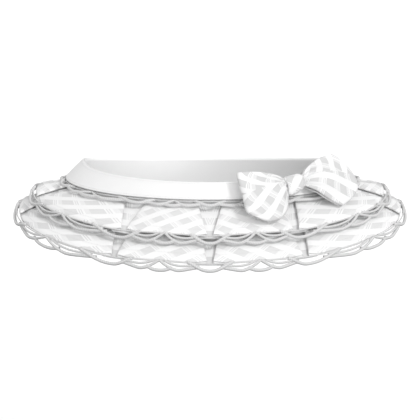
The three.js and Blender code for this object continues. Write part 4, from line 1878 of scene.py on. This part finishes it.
class Skirt:
    """The whole skirt, piece by piece."""

    def __init__(self, wardrobe: Wardrobe) -> None:
        """Sets out the sub-assemblies with their finishes.

        Args:
            wardrobe: The finishes.
        """
        self.wardrobe = wardrobe
        self.yoke = SmoothRing("yoke", YOKE, YOKE_CLOTH, wave=0.5, rests_on=("facing_front", "facing_back"),
                               stitch_drops=(0.1, 0.9))
        self.facing = SmoothRing("facing", FACING, CLOTH, wave=0.4, rows=26,
                                 rests_on=("yoke_front", "yoke_back"), stitch_drops=(0.06, 0.94))
        self.flounces = (
            Flounce("tier_1", TIER_1, PLEATS, seed=1.0),
            Flounce("tier_2", TIER_2, PLEATS, seed=9.0, check_at=(20.0, -9.3), check_scale=(1.13, 0.88)),
        )
        self.laces = (
            LaceRow("lace_yoke", LACE_YOKE, PLEATS, 0.0, top=-0.05, bottom=0.84, finest=1.5),
            LaceRow("lace_tier_1", LACE_TIER_1, PLEATS, 2.0, top=-0.04, bottom=1.06),
            LaceRow("lace_tier_2", LACE_TIER_2, PLEATS, 2.0, top=-0.04, bottom=1.0),
        )
        self.bow = Bow(YOKE, LEFT_RIBS, RIGHT_RIBS, KNOT_RINGS)

    def build(self) -> None:
        """Makes every piece."""
        for half in Half:
            self.yoke.half(half, self.wardrobe.satin)
            self.facing.half(half, self.wardrobe.lining)
        self.build_tiers()
        ribbon = self.wardrobe.ribbon
        self.bow.loop("bow_left", self.bow.left, -1, LEFT_PATTERN, ribbon)
        self.bow.loop("bow_right", self.bow.right, 1, RIGHT_PATTERN, ribbon)
        self.bow.wrap(ribbon)

    def build_tiers(self) -> None:
        """Makes the flounces with their lace and sewing."""
        for flounce, lace in zip(self.flounces, self.laces[1:]):
            for half in Half:
                cloth = flounce.half(half, self.wardrobe.tartan)
                flat, area = flounce.cut
                cords = lace.half(half, self.wardrobe.cord)
        for half in Half:
            self.laces[0].half(half, self.wardrobe.cord)
        sewing = Stitching()
        self.yoke.sew(sewing, 1.0)
        self.facing.sew(sewing, -1.0)
        for flounce in self.flounces:
            flounce.sew(sewing)
        dress(sewing.made("sewing_stitches", self.wardrobe), "white_cloth")


# ------------------------------------------------------------------------------------------- studio


@dataclass
class Studio:
    """Pale floor, soft lights and the camera."""

    target: tuple[float, float, float] = (0.0, 0.0, -0.0689)
    distance: float = 1.3
    elevation: float = 15.0
    lens: float = 85.7
    floor_height: float = -0.75
    below: tuple[float, float, float, float] = (0.18, 0.18, 0.18, 1.0)
    above: tuple[float, float, float, float] = (0.73, 0.73, 0.73, 1.0)

    def build(self) -> None:
        """Makes the floor, lights and camera."""
        self.floor()
        self.world()
        self.sun("key_light", 38.0, 36.0, 1.05, 12.0)
        self.sun("fill_light", 15.0, 12.0, 0.65, 25.0)
        self.glow("waist_light", (-0.05, 0.0, -0.02), 0.1, 0.04)
        self.camera()
        bpy.context.scene.view_settings.view_transform = "Standard"

    def floor(self) -> None:
        """Makes a wide plain floor below the skirt."""
        size = 30.0
        mesh = bpy.data.meshes.new("studio_floor")
        mesh.from_pydata(
            [(x * size, y * size, self.floor_height) for x, y in ((-1, -1), (1, -1), (1, 1), (-1, 1))],
            [], [(0, 1, 2, 3)])
        material = bpy.data.materials.new("studio_floor")
        material.use_nodes = True
        shader = material.node_tree.nodes["Principled BSDF"]
        shader.inputs["Base Color"].default_value = (0.95, 0.95, 0.95, 1.0)
        shader.inputs["Roughness"].default_value = 0.9
        shader.inputs["Emission Color"].default_value = (1.0, 1.0, 1.0, 1.0)
        shader.inputs["Emission Strength"].default_value = 0.2
        mesh.materials.append(material)
        floor = bpy.data.objects.new("studio_floor", mesh)
        bpy.context.scene.collection.objects.link(floor)
        for ray in ("visible_diffuse", "visible_glossy", "visible_transmission"):
            setattr(floor, ray, False)

    def world(self) -> None:
        """Makes the even white surroundings."""
        world = bpy.data.worlds.new("studio")
        bpy.context.scene.world = world
        world.use_nodes = True
        pad = NodePad(world.node_tree)
        seen = pad.node("ShaderNodeBackground")
        seen.inputs["Strength"].default_value = 1.0
        seen.inputs["Color"].default_value = (1.0, 1.0, 1.0, 1.0)
        lighting = pad.node("ShaderNodeBackground")
        direction = pad.node("ShaderNodeTexCoord")
        split = pad.node("ShaderNodeSeparateXYZ")
        pad.join(direction.outputs["Generated"], split.inputs[0])
        height = pad.ramp(split.outputs[2], -0.4, 0.2)
        pad.join(pad.blend(height, self.below, self.above), lighting.inputs["Color"])
        path = pad.node("ShaderNodeLightPath")
        mix = pad.node("ShaderNodeMixShader")
        out = pad.node("ShaderNodeOutputWorld")
        pad.join(path.outputs["Is Camera Ray"], mix.inputs[0])
        pad.join(lighting.outputs[0], mix.inputs[1])
        pad.join(seen.outputs[0], mix.inputs[2])
        pad.join(mix.outputs[0], out.inputs["Surface"])

    def sun(self, name: str, elevation: float, azimuth: float, strength: float, spread: float) -> None:
        """Makes a soft distant light.

        Args:
            name: Its name.
            elevation: Degrees above the horizon.
            azimuth: Degrees round from the front, to the wearer's left.
            strength: Its strength.
            spread: How wide it is, in degrees.
        """
        light = bpy.data.lights.new(name, "SUN")
        light.energy = strength
        light.angle = math.radians(spread)
        made = bpy.data.objects.new(name, light)
        e, a = math.radians(elevation), math.radians(azimuth)
        towards = Vector((math.sin(a) * math.cos(e), -math.cos(a) * math.cos(e), math.sin(e)))
        made.rotation_mode = "QUATERNION"
        made.rotation_quaternion = towards.to_track_quat("Z", "Y")
        bpy.context.scene.collection.objects.link(made)

    def glow(self, name: str, place: tuple[float, float, float], power: float, radius: float) -> None:
        """Makes a small soft light that fills a cavity.

        Args:
            name: Its name.
            place: Where it is, in metres.
            power: Its power in watts.
            radius: Its radius in metres.
        """
        light = bpy.data.lights.new(name, "POINT")
        light.energy = power
        light.shadow_soft_size = radius
        made = bpy.data.objects.new(name, light)
        made.location = place
        made.visible_camera = False
        made.visible_glossy = False
        bpy.context.scene.collection.objects.link(made)

    def camera(self) -> None:
        """Makes the camera, level with the horizon and above the skirt."""
        data = bpy.data.cameras.new("camera")
        data.lens, data.sensor_width = self.lens, 36.0
        data.clip_start, data.clip_end = 0.05, 100.0
        made = bpy.data.objects.new("camera", data)
        e = math.radians(self.elevation)
        back = Vector((0.0, -math.cos(e), math.sin(e)))
        made.location = Vector(self.target) + back * self.distance
        made.rotation_mode = "QUATERNION"
        made.rotation_quaternion = back.to_track_quat("Z", "Y")
        bpy.context.scene.collection.objects.link(made)
        bpy.context.scene.camera = made


def main() -> None:
    """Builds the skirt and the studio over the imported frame."""
    logging.basicConfig(level=logging.INFO, format="%(message)s")
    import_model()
    Studio().build()
    Skirt(Wardrobe.made()).build()


if __name__ == "__main__":
    main()
